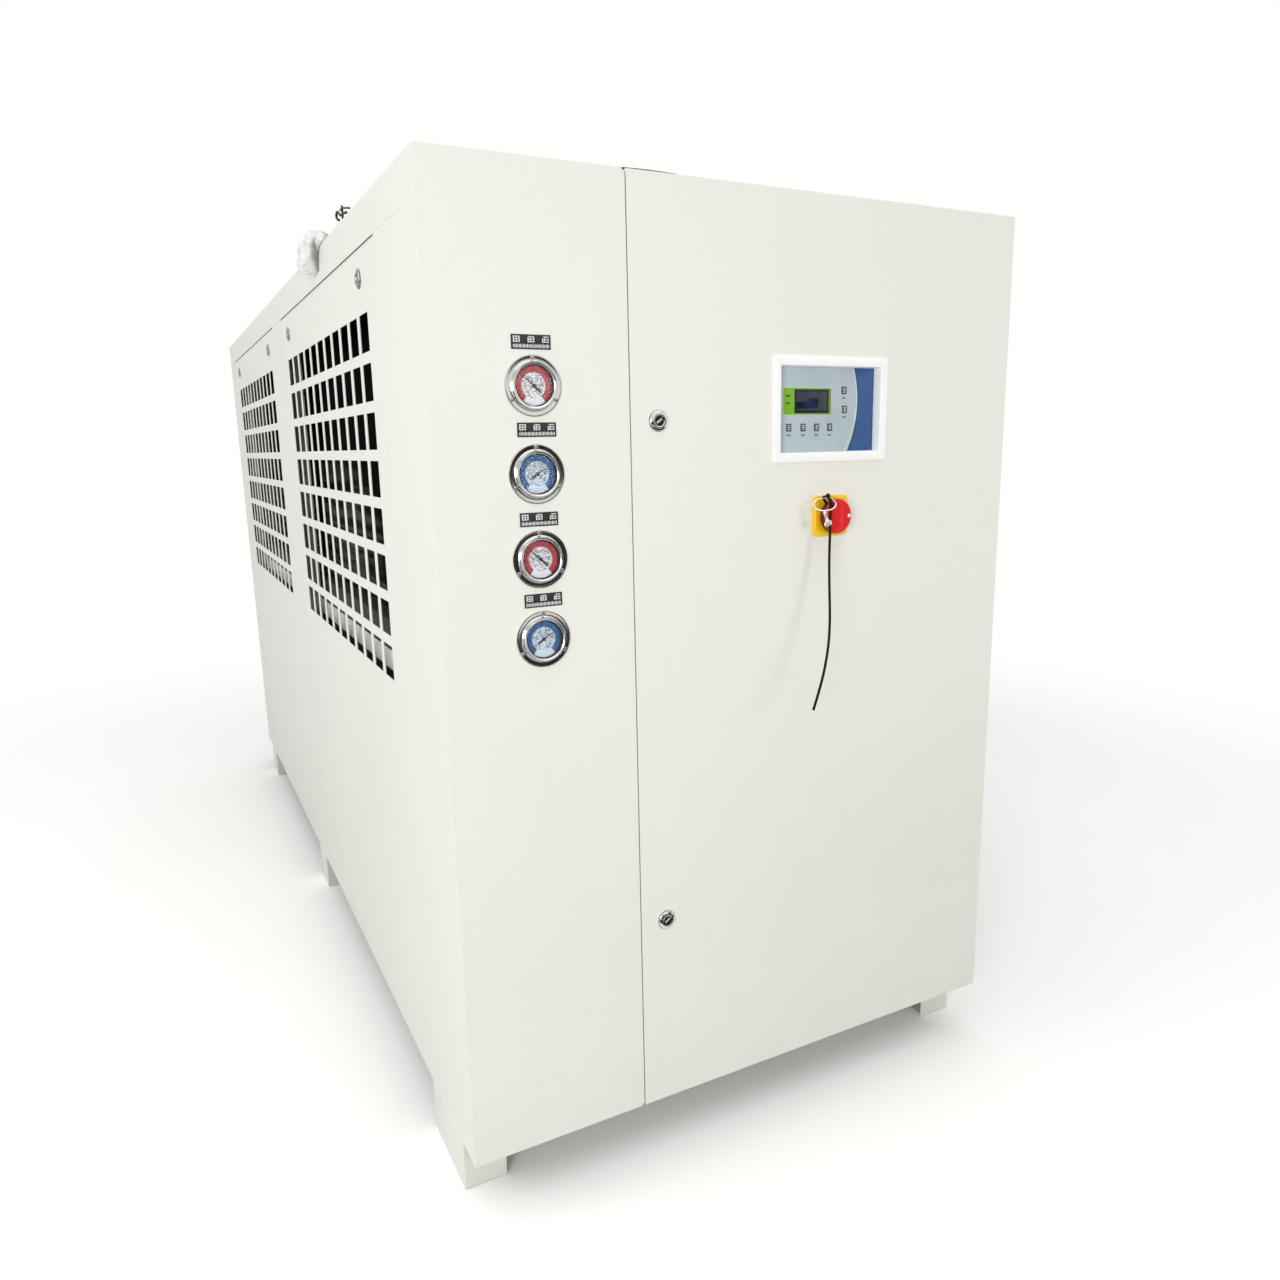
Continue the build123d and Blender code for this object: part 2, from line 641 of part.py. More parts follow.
# Condensing coils and the deck that carries them
COIL_BOTTOM = SLOT_FIELD_BOTTOM + 65
COIL_TOP = FASCIA_BOTTOM - 17
COIL_OUTSET = 78
COIL_DEPTH = 66
COIL_START = CABINET_BACK + 23
COIL_END = REAR_FRAME - 155
with BuildPart() as coil_left:
    with BuildSketch(Plane.XY.offset(COIL_BOTTOM)):
        patch(LEFT + COIL_OUTSET, LEFT + COIL_OUTSET + COIL_DEPTH, COIL_START, COIL_END)
    extrude(amount=COIL_TOP - COIL_BOTTOM)
save(coil_left.part, "coil_left")

with BuildPart() as coil_right:
    with BuildSketch(Plane.XY.offset(COIL_BOTTOM)):
        patch(RIGHT - COIL_OUTSET - COIL_DEPTH, RIGHT - COIL_OUTSET, COIL_START, COIL_END)
    extrude(amount=COIL_TOP - COIL_BOTTOM)
save(coil_right.part, "coil_right")

DECK_HEIGHT = 50
with BuildPart() as plenum_deck:
    with BuildSketch(Plane.XY.offset(COIL_BOTTOM - DECK_HEIGHT)):
        patch(LEFT + 45, RIGHT - 45, CABINET_BACK, REAR_FRAME)
    extrude(amount=DECK_HEIGHT)
    with BuildSketch(Plane.XY.offset(COIL_BOTTOM - DECK_HEIGHT)):
        patch(LEFT + 48, RIGHT - 48, CABINET_BACK + 3, REAR_FRAME - 3)
    extrude(amount=DECK_HEIGHT - 3, mode=Mode.SUBTRACT)
save(plenum_deck.part, "plenum_deck")

# Rear panel and the two water connections
WATER_POINTS = [(RIGHT - 180, BOTTOM + 260), (RIGHT - 180, BOTTOM + 460)]
with BuildPart() as rear_panel:
    with BuildSketch(facing_front(REAR)):
        patch(LEFT, RIGHT, BOTTOM, TOP)
    extrude(amount=REAR_SHELL_DEPTH)
    with BuildSketch(facing_front(REAR - SHEET)):
        patch(LEFT + SHEET, RIGHT - SHEET, BOTTOM + SHEET, TOP - SHEET)
    extrude(amount=REAR_SHELL_DEPTH - SHEET, mode=Mode.SUBTRACT)
    with BuildSketch(facing_front(REAR)):
        discs(WATER_POINTS, 40, SMALL_SIDES)
    extrude(amount=SHEET, mode=Mode.SUBTRACT)
save(rear_panel.part, "rear_panel")

with BuildPart() as water_connections:
    with BuildSketch(facing_front(REAR + 4)):
        discs(WATER_POINTS, 50, SMALL_SIDES)
    extrude(amount=4)
    with BuildSketch(facing_front(REAR + 30)):
        discs(WATER_POINTS, 30, SMALL_SIDES)
    extrude(amount=90)
    with BuildSketch(facing_front(REAR + 30)):
        discs(WATER_POINTS, 25, SMALL_SIDES)
    extrude(amount=90, mode=Mode.SUBTRACT)
save(water_connections.part, "water_connections")

# Loose protective film, bunched up over the left edge of the roof and tapering to the rear
FILM_START = PANEL_BAYS["front"] + 353
FILM_END = FILM_START + 330
FILM_OUTLINE = [
    (0, -50),
    (-9, -48),
    (-20, -20),
    (-16, 18),
    (10, 44),
    (45, 40),
    (62, 8),
    (62, 0),
    (0, 0),
]
FILM_SCALES = (1, 0.85, 0.7)
FILM_STEP = (FILM_END - FILM_START) / len(FILM_SCALES)
with BuildPart() as protective_film:
    for step, scale in enumerate(FILM_SCALES):
        with BuildSketch(facing_front(FILM_START + FILM_STEP * (step + 1))):
            with BuildLine():
                Polyline(*[(LEFT + scale * dx, TOP + scale * dz) for dx, dz in FILM_OUTLINE], close=True)
            make_face()
        extrude(amount=FILM_STEP)
save(protective_film.part, "protective_film")
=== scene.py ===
# %% [markdown]
# # An air-cooled water chiller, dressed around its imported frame
# The CAD model gives every sheet, foot and hinge its size and place, in metres. This script keeps
# those that are right, gives them real surfaces, and puts finer pieces where the CAD solids are
# plain: gauges, fan guards, locks, the controller, the main switch and the tie that locks it.

# %% Load the frame
import bpy
import bmesh
import math
import numpy as np
from mathutils import Matrix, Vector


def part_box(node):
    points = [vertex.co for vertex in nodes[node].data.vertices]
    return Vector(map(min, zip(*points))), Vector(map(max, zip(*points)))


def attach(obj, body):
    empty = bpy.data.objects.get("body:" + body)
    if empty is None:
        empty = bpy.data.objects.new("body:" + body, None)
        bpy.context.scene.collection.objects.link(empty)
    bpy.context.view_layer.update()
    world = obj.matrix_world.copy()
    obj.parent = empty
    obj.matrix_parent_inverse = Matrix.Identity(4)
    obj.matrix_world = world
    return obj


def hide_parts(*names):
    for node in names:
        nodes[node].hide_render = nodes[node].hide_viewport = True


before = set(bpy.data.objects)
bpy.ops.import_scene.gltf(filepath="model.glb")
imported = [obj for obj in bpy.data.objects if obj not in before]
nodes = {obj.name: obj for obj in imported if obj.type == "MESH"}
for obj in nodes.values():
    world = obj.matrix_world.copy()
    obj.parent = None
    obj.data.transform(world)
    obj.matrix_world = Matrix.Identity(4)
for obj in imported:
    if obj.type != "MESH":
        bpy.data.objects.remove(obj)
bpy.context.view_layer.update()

LEFT, RIGHT = -0.540, 0.540
FRONT, REAR = -1.312, 1.343
BOTTOM, TOP = 0.095, 1.595
MM = 0.001
print("frame", len(nodes), "nodes")

# %% [markdown]
# ## The camera
# The photograph was taken from the left front corner, at chest height, with a wide lens. The camera
# stands where the corners of the housing meet their places in the picture. Its three axes are the
# columns of its matrix: to the right, up, and backwards.


# %% Camera
def add_object(name, data):
    """A new object in the scene, at the origin."""
    item = bpy.data.objects.new(name, data)
    bpy.context.scene.collection.objects.link(item)
    return item


def stand(item, place, right, up, back):
    """Puts a camera or lamp at a place, its own three axes along right, up and back."""
    axes = Matrix([right, up, back]).transposed().to_4x4()
    item.matrix_world = Matrix.Translation(place) @ axes


EYE = (-0.8946, -2.6047, 1.2104)
LOOK_RIGHT, LOOK_UP = (0.88665, -0.46199, -0.02019), (0.11002, 0.16833, 0.97956)
LOOK_BACK = (-0.44915, -0.87076, 0.20008)
SENSOR_MM, LENS_MM, SEES_TO = 36, 26.79, 100
camera = add_object("camera", bpy.data.cameras.new("camera"))
camera.data.sensor_width, camera.data.lens, camera.data.clip_end = SENSOR_MM, LENS_MM, SEES_TO
stand(camera, EYE, LOOK_RIGHT, LOOK_UP, LOOK_BACK)
bpy.context.scene.camera = camera
bpy.context.scene.view_settings.view_transform = "Standard"
print("camera at", EYE, "lens", LENS_MM)

# %% [markdown]
# ## Meshes from arrays
# Nearly every new piece is a grid: one parameter runs along it and the other round it. The points
# come out of numpy as one array, and the faces join each point to its neighbours. Small helpers
# carry an outline along a path, turn a profile round an axis, and join parts into one mesh.


# %% Grid helpers
def grid_faces(rows, cols, close_rows=False, close_cols=False):
    """Quads (i,j) (i,j+1) (i+1,j+1) (i+1,j) of a grid numbered row by row; closed ways wrap round."""
    i, j = np.meshgrid(
        np.arange(rows - (not close_rows)), np.arange(cols - (not close_cols)), indexing="ij"
    )
    below, right = (i + 1) % rows, (j + 1) % cols
    corners = (i * cols + j, i * cols + right, below * cols + right, below * cols + j)
    return np.stack(corners, -1).reshape(-1, 4).tolist()


def grid(points, close_rows=False, close_cols=False, caps=False):
    """A (points, faces) part from an array of rows x cols x 3; caps close the first and last row."""
    rows, cols = points.shape[:2]
    faces = grid_faces(rows, cols, close_rows, close_cols)
    if caps:
        faces.append(list(range(cols))[::-1])
        faces.append(list(range((rows - 1) * cols, rows * cols)))
    return points.reshape(-1, 3), faces


def join(parts):
    """One part from several: the points in a row, each part's face numbers raised by those before."""
    points, faces, start = [], [], 0
    for part_points, part_faces in parts:
        points.append(part_points)
        faces += [[k + start for k in face] for face in part_faces]
        start += len(part_points)
    return np.concatenate(points), faces


def copies(part, offsets):
    """The part once at each offset."""
    points, faces = part
    return join([(points + np.asarray(offset, float), faces) for offset in offsets])


# %% Objects from parts, and points back from Blender
def put(name, part, material, body="housing", stands_for=(), smooth=True):
    """Makes a part an object that rides on a body, merges its doubles and turns its faces outwards."""
    points, faces = part
    mesh = bpy.data.meshes.new(name)
    mesh.from_pydata(np.asarray(points, float).tolist(), [], faces)
    shape = bmesh.new()
    shape.from_mesh(mesh)
    bmesh.ops.remove_doubles(shape, verts=shape.verts, dist=2e-6)
    bmesh.ops.dissolve_degenerate(shape, dist=1e-7, edges=shape.edges)
    bmesh.ops.recalc_face_normals(shape, faces=shape.faces)
    shape.to_mesh(mesh)
    shape.free()
    mesh.materials.append(material)
    piece = add_object(name, mesh)
    if smooth:
        mesh.shade_smooth()
        mesh.set_sharp_from_angle(angle=math.radians(35))
    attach(piece, body)
    if stands_for:
        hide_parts(*stands_for)
    return piece


def points_of(mesh):
    """The mesh's points as rows of x, y, z."""
    flat = np.empty(len(mesh.vertices) * 3)
    mesh.vertices.foreach_get("co", flat)
    return flat.reshape(-1, 3)


def as_part(curve):
    """The (points, faces) part that Blender gives for a curve or a text."""
    holder = add_object("holder", curve)
    bpy.context.view_layer.update()
    mesh = bpy.data.meshes.new_from_object(holder)
    bpy.data.objects.remove(holder)
    return points_of(mesh), [list(face.vertices) for face in mesh.polygons]


# %% Turned shapes
ANGLES = {n: np.arange(n) * 2 * np.pi / n for n in (6, 8, 12, 16, 24, 32, 48, 64, 96)}


def mm(rows):
    """A list of numbers in millimetres as an array in metres."""
    return np.asarray(rows, float) * MM


def turned(profile, centre=(0, 0, 0), facing="front", steps=48, ring=False):
    """Revolves (radius, height): each point goes round the centre, its height along the facing way.
    A ring's profile is closed on itself, so it leaves a bore and needs no caps."""
    r, h = np.asarray(profile, float).T[:, :, None]
    t = ANGLES[steps][None]
    across, up, out = r * np.cos(t), r * np.sin(t), h + 0 * t
    ways = {
        "front": (across, -out, up),
        "rear": (across, out, up),
        "left": (-out, across, up),
        "right": (out, across, up),
        "top": (across, up, out),
    }
    points = np.stack(ways[facing], -1) + np.asarray(centre)
    return grid(points, close_rows=ring, close_cols=True, caps=not ring)


# %% Carried and framed shapes
def unit(vectors):
    """Each row made one long."""
    return vectors / np.linalg.norm(vectors, axis=-1, keepdims=True)


def tangents(path, closed):
    """The direction at each point of a path, from its two neighbours."""
    return unit(np.roll(path, -1, 0) - np.roll(path, 1, 0) if closed else np.gradient(path, axis=0))


def carry(path, outline, side, closed=False):
    """An outline of (a, b) points carried along a path: path + a side + b (side x tangent)."""
    over = np.cross(side, tangents(path, closed))
    a, b = np.asarray(outline, float).T[:, None, :, None]
    points = path[:, None] + a * side[:, None] + b * over[:, None]
    return grid(points, close_rows=closed, close_cols=True, caps=not closed)


def tube(path, radius, up, sides=8, closed=False):
    """A circle (r cos t, r sin t) carried along a path, its side square to the path and to up."""
    path = np.asarray(path, float)
    side = unit(np.cross(tangents(path, closed), np.broadcast_to(np.asarray(up, float), path.shape)))
    t = ANGLES[sides]
    return carry(path, radius * np.c_[np.cos(t), np.sin(t)], side, closed)


def ring_path(centre, radius, steps, across=(1, 0, 0), up=(0, 1, 0)):
    """Points centre + radius (cos t across + sin t up)."""
    t = ANGLES[steps][:, None]
    return np.asarray(centre) + radius * (np.cos(t) * np.asarray(across) + np.sin(t) * np.asarray(up))


def framed(width, height, corner, profile, centre, arc=8, ring=False):
    """A profile of (inset, out) carried round a rounded rectangle that faces the front.
    At inset d the rectangle is smaller by d on each side and its corner radius is corner - d.
    A ring's profile is closed on itself, so it leaves a window."""
    inset, out = np.asarray(profile, float).T[:, :, None]
    t = (np.arange(4 * arc) // arc * 90 + np.arange(4 * arc) % arc * 90 / (arc - 1)) * np.pi / 180
    t = t[None]
    sign_x = np.array([1, -1, -1, 1]).repeat(arc)[None]
    sign_z = np.array([1, 1, -1, -1]).repeat(arc)[None]
    radius = np.maximum(corner - inset, 0.3 * MM)
    radius = np.minimum(radius, np.minimum(width, height) / 2 - inset)
    x = sign_x * (width / 2 - inset - radius) + radius * np.cos(t)
    z = sign_z * (height / 2 - inset - radius) + radius * np.sin(t)
    points = np.stack((x, -out + 0 * x, z), -1) + np.asarray(centre)
    return grid(points, close_rows=ring, close_cols=True, caps=not ring)


# %% [markdown]
# ## Shader maths as Python
# A finish is a handful of patterns mixed by masks. The class below wraps a socket, so that sums,
# products and comparisons are written as plain expressions, and a second class makes any node from
# its type, its settings and what goes into its sockets. It serves the world as well.


# %% Socket maths
class Value:
    """A shader socket that takes part in Python sums. Each operation adds one Math node."""

    def __init__(self, finish, socket):
        self.finish, self.socket = finish, socket

    def math(self, operation, *others):
        return self.finish.node("ShaderNodeMath", {"operation": operation}, dict(enumerate((self, *others))))

    def __add__(self, other):
        return self.math("ADD", other)

    def __sub__(self, other):
        return self.math("SUBTRACT", other)

    def __mul__(self, other):
        return self.math("MULTIPLY", other)

    def __rsub__(self, other):
        return (self * -1) + other

    def __gt__(self, other):
        return self.math("GREATER_THAN", other)

    def __lt__(self, other):
        return self.math("LESS_THAN", other)

    __radd__, __rmul__ = __add__, __mul__

    def smooth(self, low, high):
        """0 below low, 1 above high, and a smooth step between."""
        sockets = {"Value": self, "From Min": low, "From Max": high}
        return self.finish.node("ShaderNodeMapRange", {"interpolation_type": "SMOOTHSTEP"}, sockets)

    def near(self, middle, half):
        """1 where the value lies within half of middle."""
        return (self - middle).math("ABSOLUTE") < half

    def at_most_one(self):
        return self.math("MINIMUM", 1.0)


# %% The finish builder
class Finish:
    """A material in the making, or the world where that is handed in."""

    def __init__(self, name, world=None):
        self.owner = world or bpy.data.materials.new(name)
        self.output = "ShaderNodeOutputWorld" if world else "ShaderNodeOutputMaterial"
        self.owner.use_nodes = True
        self.tree = self.owner.node_tree
        self.tree.nodes.clear()
        self.place = self.node("ShaderNodeTexCoord", {}, {}, "Object")

    def node(self, kind, settings, sockets, out=0):
        """Makes a node: settings first, then its sockets by name or number; gives one output."""
        node = self.tree.nodes.new(kind)
        for key, value in settings.items():
            setattr(node, key, value)
        for key, value in sockets.items():
            if isinstance(value, Value):
                self.tree.links.new(value.socket, node.inputs[key])
            elif value is not None:
                if not isinstance(value, (int, float)) and node.inputs[key].type == "RGBA":
                    value = (*value, 1)
                node.inputs[key].default_value = value
        return Value(self, node.outputs[out])

    def xyz(self):
        """The three object coordinates."""
        return [self.node("ShaderNodeSeparateXYZ", {}, {0: self.place}, k) for k in range(3)]

    def noise(self, scale, detail=2.0, rough=0.5, stretch=None, seed=0.0):
        """Noise of so many waves to the metre, from 0 to 1, stretched along an axis if asked."""
        place = self.place
        if stretch or seed:
            sockets = {"Vector": place, "Scale": stretch or (1, 1, 1), "Location": (seed,) * 3}
            place = self.node("ShaderNodeMapping", {}, sockets)
        sockets = {"Vector": place, "Scale": scale, "Detail": detail, "Roughness": rough}
        return self.node("ShaderNodeTexNoise", {}, sockets)

    def blend(self, mask, first, second):
        """Colour: first where the mask is 0, second where it is 1."""
        return self.node("ShaderNodeMix", {"data_type": "RGBA"}, {0: mask, 6: first, 7: second}, 2)

    def bump(self, height, distance, strength=1.0, under=None):
        sockets = {"Height": height, "Distance": distance, "Strength": strength, "Normal": under}
        return self.node("ShaderNodeBump", {}, sockets)

    def ends_in(self, shader):
        """Links the last shader to the output and gives the material or world."""
        end = self.tree.nodes.new(self.output)
        self.tree.links.new(shader.socket, end.inputs["Surface"])
        return self.owner

    def done(self, **sockets):
        """Ends in a Principled shader; socket names are written with _ for a space."""
        named = {key.replace("_", " "): value for key, value in sockets.items()}
        return self.ends_in(self.node("ShaderNodeBsdfPrincipled", {}, named))


# %% [markdown]
# ## Finishes
# Most of the machine is powder coated sheet steel in a warm white. Such a coat is never quite flat: it has an
# orange peel of a few millimetres, a finer grain on top, and it is a little darker and duller in patches
# towards the bottom. Bare metals get fine scratches in their roughness, plastics a soft grain.


# %% Sheet steel, metals and plastics
def darker(colour, share):
    return tuple(c * share for c in colour)


def powder_coat(name, colour, shade):
    """Warm white coat: broad faint clouds in the colour, two sizes of orange peel in the bump."""
    f = Finish(name)
    clouds = f.noise(2.2, 3)
    patch_noise = f.noise(9, 4, seed=3.0)
    low = 1 - f.xyz()[2].smooth(0.02, 0.5)
    # Darker and duller in patches towards the bottom of the sheets.
    mask = (clouds.smooth(0.35, 0.7) * 0.3 + low * 0.35 * patch_noise.smooth(0.3, 0.7)).at_most_one()
    peel, grain = f.noise(240, 2), f.noise(1100, 1)
    height = f.bump(grain, 0.00012, 0.5, f.bump(peel, 0.0006, 0.55))
    return f.done(
        Base_Color=f.blend(mask, colour, shade), Roughness=peel * 0.12 + patch_noise * 0.1 + 0.30, Normal=height,
        Coat_Weight=0.15, Coat_Roughness=0.25,
    )


def metal(name, colour, rough, scratch=(1, 1, 1), depth=0.00004, speck=0.08, wave=0.0):
    """Metal whose roughness and colour vary with stretched noise, as plating and brushing do.
    A wave bends the reflections of pressed sheet a little, in waves of about a centimetre."""
    f = Finish(name)
    lines = f.noise(420, 3, stretch=scratch)
    spots = f.noise(45, 4, seed=5.0)
    base = f.blend(spots.smooth(0.55, 0.8) * 0.5, colour, darker(colour, 0.72))
    normal = f.bump(lines, depth, 0.6)
    if wave:
        normal = f.bump(f.noise(95, 1, seed=8.0), wave, 1.0, normal)
    return f.done(
        Base_Color=base, Metallic=1.0, Roughness=lines * speck + spots * 0.06 + rough, Normal=normal
    )


def plastic(name, colour, rough=0.35, grain=700, depth=0.00006, mottle=0.06, **more):
    """Moulded plastic: a fine spark-eroded grain and a faint change of shade."""
    f = Finish(name)
    fine = f.noise(grain, 2)
    broad = f.noise(18, 3, seed=2.0)
    base = f.blend(broad.smooth(0.35, 0.75), colour, darker(colour, 1 - mottle))
    return f.done(Base_Color=base, Roughness=broad * 0.12 + rough, Normal=f.bump(fine, depth, 0.5), **more)


# %% The machine's own finishes
WARM_WHITE = powder_coat("warm_white_coat", (0.815, 0.805, 0.745), (0.76, 0.745, 0.675))
INNER_WHITE = powder_coat("inner_white_coat", (0.72, 0.71, 0.67), (0.62, 0.60, 0.55))
CHROME = metal("chrome_plate", (0.66, 0.66, 0.645), 0.06, wave=0.00005)
ZINC = metal("zinc_plate", (0.58, 0.59, 0.58), 0.28, (1, 1, 8), 0.0001, 0.2)
BRASS = metal("turned_brass", (0.72, 0.52, 0.22), 0.22, (1, 8, 1), 0.0001, 0.15)
STEEL = metal("screw_steel", (0.50, 0.50, 0.50), 0.22)
KEY_STEEL = metal("key_steel", (0.88, 0.845, 0.79), 0.30)
# Painted dark reflection: a darkened copy of the chrome, for the side panels' lock rings.
LOCK_CHROME_DARKENED = metal("panel_lock_chrome_darkened", (0.26, 0.26, 0.25), 0.16)
BLACK_COAT = plastic("black_dipped_wire", (0.006, 0.006, 0.006), 0.40, 500, 0.0001, Specular_IOR_Level=0.25)
ROTOR_GREY = plastic("rotor_grey", (0.045, 0.046, 0.05), 0.42, 260, 0.0003)
WHITE_PLASTIC = plastic("white_plastic", (0.93, 0.93, 0.92), 0.25, 900, 0.00003, 0.03)
YELLOW_PLASTIC = plastic("yellow_plastic", (0.96, 0.60, 0.010), 0.28, 700, 0.00004)
NYLON = plastic("black_nylon", (0.004, 0.004, 0.004), 0.42, 1500, 0.00005, Specular_IOR_Level=0.2)
POINTER_BLACK = plastic("pointer_black", (0.015, 0.015, 0.02), 0.4, 900, 0.00002)
PLATE_GREY = plastic("label_plate_grey", (0.018, 0.019, 0.020), 0.42, 1200, 0.00004, 0.3)
SEAL_BLACK = plastic("rubber_seal", (0.010, 0.010, 0.010), 0.5, 1500, 0.00004)
PLATE_MARK = plastic("label_plate_mark", (0.78, 0.79, 0.78), 0.42, 1200, 0.00002, 0.1)
KEY_MARK = plastic("key_mark_grey", (0.055, 0.07, 0.075), 0.4, 1500, 0.00003, 0.2)
WHITE_DOT = plastic("white_dot", (0.85, 0.84, 0.82), 0.3, 1500, 0.00003)
LOCK_DARK = plastic("lock_core_dark", (0.010, 0.010, 0.010), 0.45, 900, 0.00004, Specular_IOR_Level=0.3)
# Painted shade: near-black for the coil channel and for the strip behind the apron.
RAIL_SHADE_BLACK = plastic("coil_rail_painted_shade", (0.014, 0.014, 0.013), 0.6, 300, 0.0002, 0.3)
print("finishes", len(bpy.data.materials))


# %% Clear, thin and finned finishes
def glass():
    """Flat gauge glass: clear, with faint smears in its gloss."""
    f = Finish("gauge_glass")
    return f.done(
        Base_Color=(0.97, 0.98, 0.98), Roughness=f.noise(60, 3) * 0.05 + 0.01, Transmission_Weight=1.0,
        IOR=1.45, Alpha=0.35,
    )


def thin_film():
    """Clouded film: it lets some light through, is darkened with painted shade in its long fold and along its
    hem, and has a soft gloss.
    """
    f = Finish("clouded_film")
    cloud = f.noise(30, 3)
    crease = f.noise(110, 3, seed=1.0)
    film_shade = f.node("ShaderNodeAttribute", {"attribute_name": "film_shade"}, {}, "Fac")
    milk = f.blend(cloud.smooth(0.4, 0.7), (0.92, 0.93, 0.925), (0.80, 0.805, 0.79))
    return f.done(
        # Painted shade: dark olive where the points' shade attribute is high, in the long fold and along the
        # hem.
        Base_Color=f.blend(film_shade * 0.92, milk, (0.13, 0.13, 0.085)),
        Roughness=crease * 0.2 + 0.25,
        Alpha=(cloud.smooth(0.25, 0.75) * 0.22 + film_shade * 0.5 + 0.62).at_most_one(),
        Normal=f.bump(crease, 0.0006, 0.5),
    )


def finned_coil():
    """Dark coated coil: a slanting patch at the front of its lower half is painted lighter, as light falling
    in from above, with tubes and dust in it; fine lines stand for the louvres in each fin."""
    f = Finish("dark_finned_coil")
    dust = f.noise(14, 4)
    _, y, z = f.xyz()
    line = (z * (2 * math.pi / 0.0021)).math("SINE")
    low = (1 - z.smooth(1.06, 1.26)) * (y - z * 1.47).smooth(-2.24, -2.08)
    tubes = f.noise(9, 2, stretch=(1, 0.25, 6), seed=4.0)
    # Painted light: the slanting patch at the front of the lower half is made lighter, broken up by dust and
    # tube noise.
    lit_patch = (dust.smooth(0.35, 0.7) * 0.25 + tubes.smooth(0.42, 0.62) * 0.75) * low
    return f.done(
        Base_Color=f.blend(lit_patch, (0.004, 0.004, 0.004), (0.105, 0.105, 0.080)),
        Roughness=dust * 0.2 + 0.6, Normal=f.bump(line, 0.0003, 0.5), Specular_IOR_Level=0.04,
    )


GLASS, FILM, COIL = glass(), thin_film(), finned_coil()

# %% [markdown]
# ## Sheet metal that the CAD already has right
# Posts, pans, panels and feet keep their solids. A sheet that is folded has no knife edges, so a
# Weld joins the loose triangles and a Bevel rounds what is left sharp. The angle limit keeps the
# flat faces whole, and the bright line on each fold comes from that small radius.


# %% Folded sheets
def rounded_fold(node_name, material, radius, segments):
    """Gives a CAD node its finish and rounds its folds."""
    node = nodes[node_name]
    node.data.materials.clear()
    node.data.materials.append(material)
    weld = node.modifiers.new("weld", "WELD")
    weld.merge_threshold = 0.00001
    bevel = node.modifiers.new("fold", "BEVEL")
    bevel.width, bevel.segments = radius, segments
    bevel.limit_method, bevel.angle_limit = "ANGLE", math.radians(40)
    bevel.harden_normals = False


PLACES, SIDES = ("front", "mid", "rear"), {"left": -1, "right": 1}
POSTS = [f"{place}_post_{side}" for place in PLACES for side in SIDES]
SLOTTED = [f"louvred_panel_{place}_{side}" for place in ("front", "rear") for side in SIDES]
FOLDED = [
    (["gauge_panel", "control_door"], WARM_WHITE, 0.5, 2),
    (["roof", "base_pan", "rear_panel", *POSTS], WARM_WHITE, 0.9, 2),
    ([f"{place}_feet" for place in PLACES], WARM_WHITE, 2.0, 2),
    (SLOTTED, WARM_WHITE, 0.5, 1),
    (["electrical_cabinet", "plenum_deck"], INNER_WHITE, 1.0, 2),
    (["mounting_plate"], ZINC, 0.5, 2),
    (["hinge_frame_leaves", "hinge_door_leaves"], ZINC, 0.4, 2),
]
for names, material, radius, segments in FOLDED:
    for name in names:
        rounded_fold(name, material, radius * MM, segments)
print("folded sheets", sum(len(row[0]) for row in FOLDED))

# %% [markdown]
# ## The long tail of the tie
# A black nylon tie locks the main switch, and nobody has cut its tail: it hangs in front of the
# door and springs away from it. A cord is one smooth curve, so the route's points steer a NURBS
# spline, and a flat strap is then carried along that line.

# %% Tie tail
SWITCH = (LEFT + 0.676, BOTTOM + 0.993)
TAIL_OFFSETS = [
    (-23, 33.4, 31), (-23, 34, -18), (-27, 38, -72), (-34, 49, -117), (-40.5, 60, -158),
    (-50, 71, -197), (-65, 82, -235), (-84, 92, -272), (-102, 99, -303),
]
tail_route = [(SWITCH[0] + dx * MM, FRONT - out * MM, SWITCH[1] + dz * MM) for dx, out, dz in TAIL_OFFSETS]
TIE_WIDTH, TIE_THICKNESS = 4.8 * MM, 1.4 * MM


def smooth_line(points):
    """The polyline that Blender gives for a NURBS curve with these control points."""
    curve = bpy.data.curves.new("route", "CURVE")
    curve.dimensions = "3D"
    curve.resolution_u = 12
    spline = curve.splines.new("NURBS")
    spline.points.add(len(points) - 1)
    spline.points.foreach_set("co", np.c_[points, np.ones(len(points))].ravel())
    spline.order_u = 3
    spline.use_endpoint_u = True
    return as_part(curve)[0]


def strap(path, across, closed=False):
    """The tie's section carried along a path: its long side lies along across, made square to the path.
    Its eight corners are (+-w, +-t) with each corner cut by a quarter of the thickness."""
    tangent = tangents(path, closed)
    side = unit(np.asarray(across, float) - tangent * (tangent @ np.asarray(across, float))[:, None])
    w, t, c = TIE_WIDTH / 2, TIE_THICKNESS / 2, TIE_THICKNESS / 4
    half = [(w, c - t), (w, t - c), (w - c, t), (c - w, t)]
    return carry(path, half + [(-a, -b) for a, b in half], side, closed)


tail_line = smooth_line(tail_route)
tail = put("tie_tail_strap", strap(tail_line, (1, 0, 0)), NYLON, "door", ["tie_tail"])

# %% [markdown]
# ## Pressure gauges
# Each gauge is a chromed flange with a raised bezel, held by three screws. All of it is round, so
# one profile of radius and height is turned round the gauge's axis. The dial sits deep behind the
# bezel, which is why its upper edge is in shadow in the photograph.

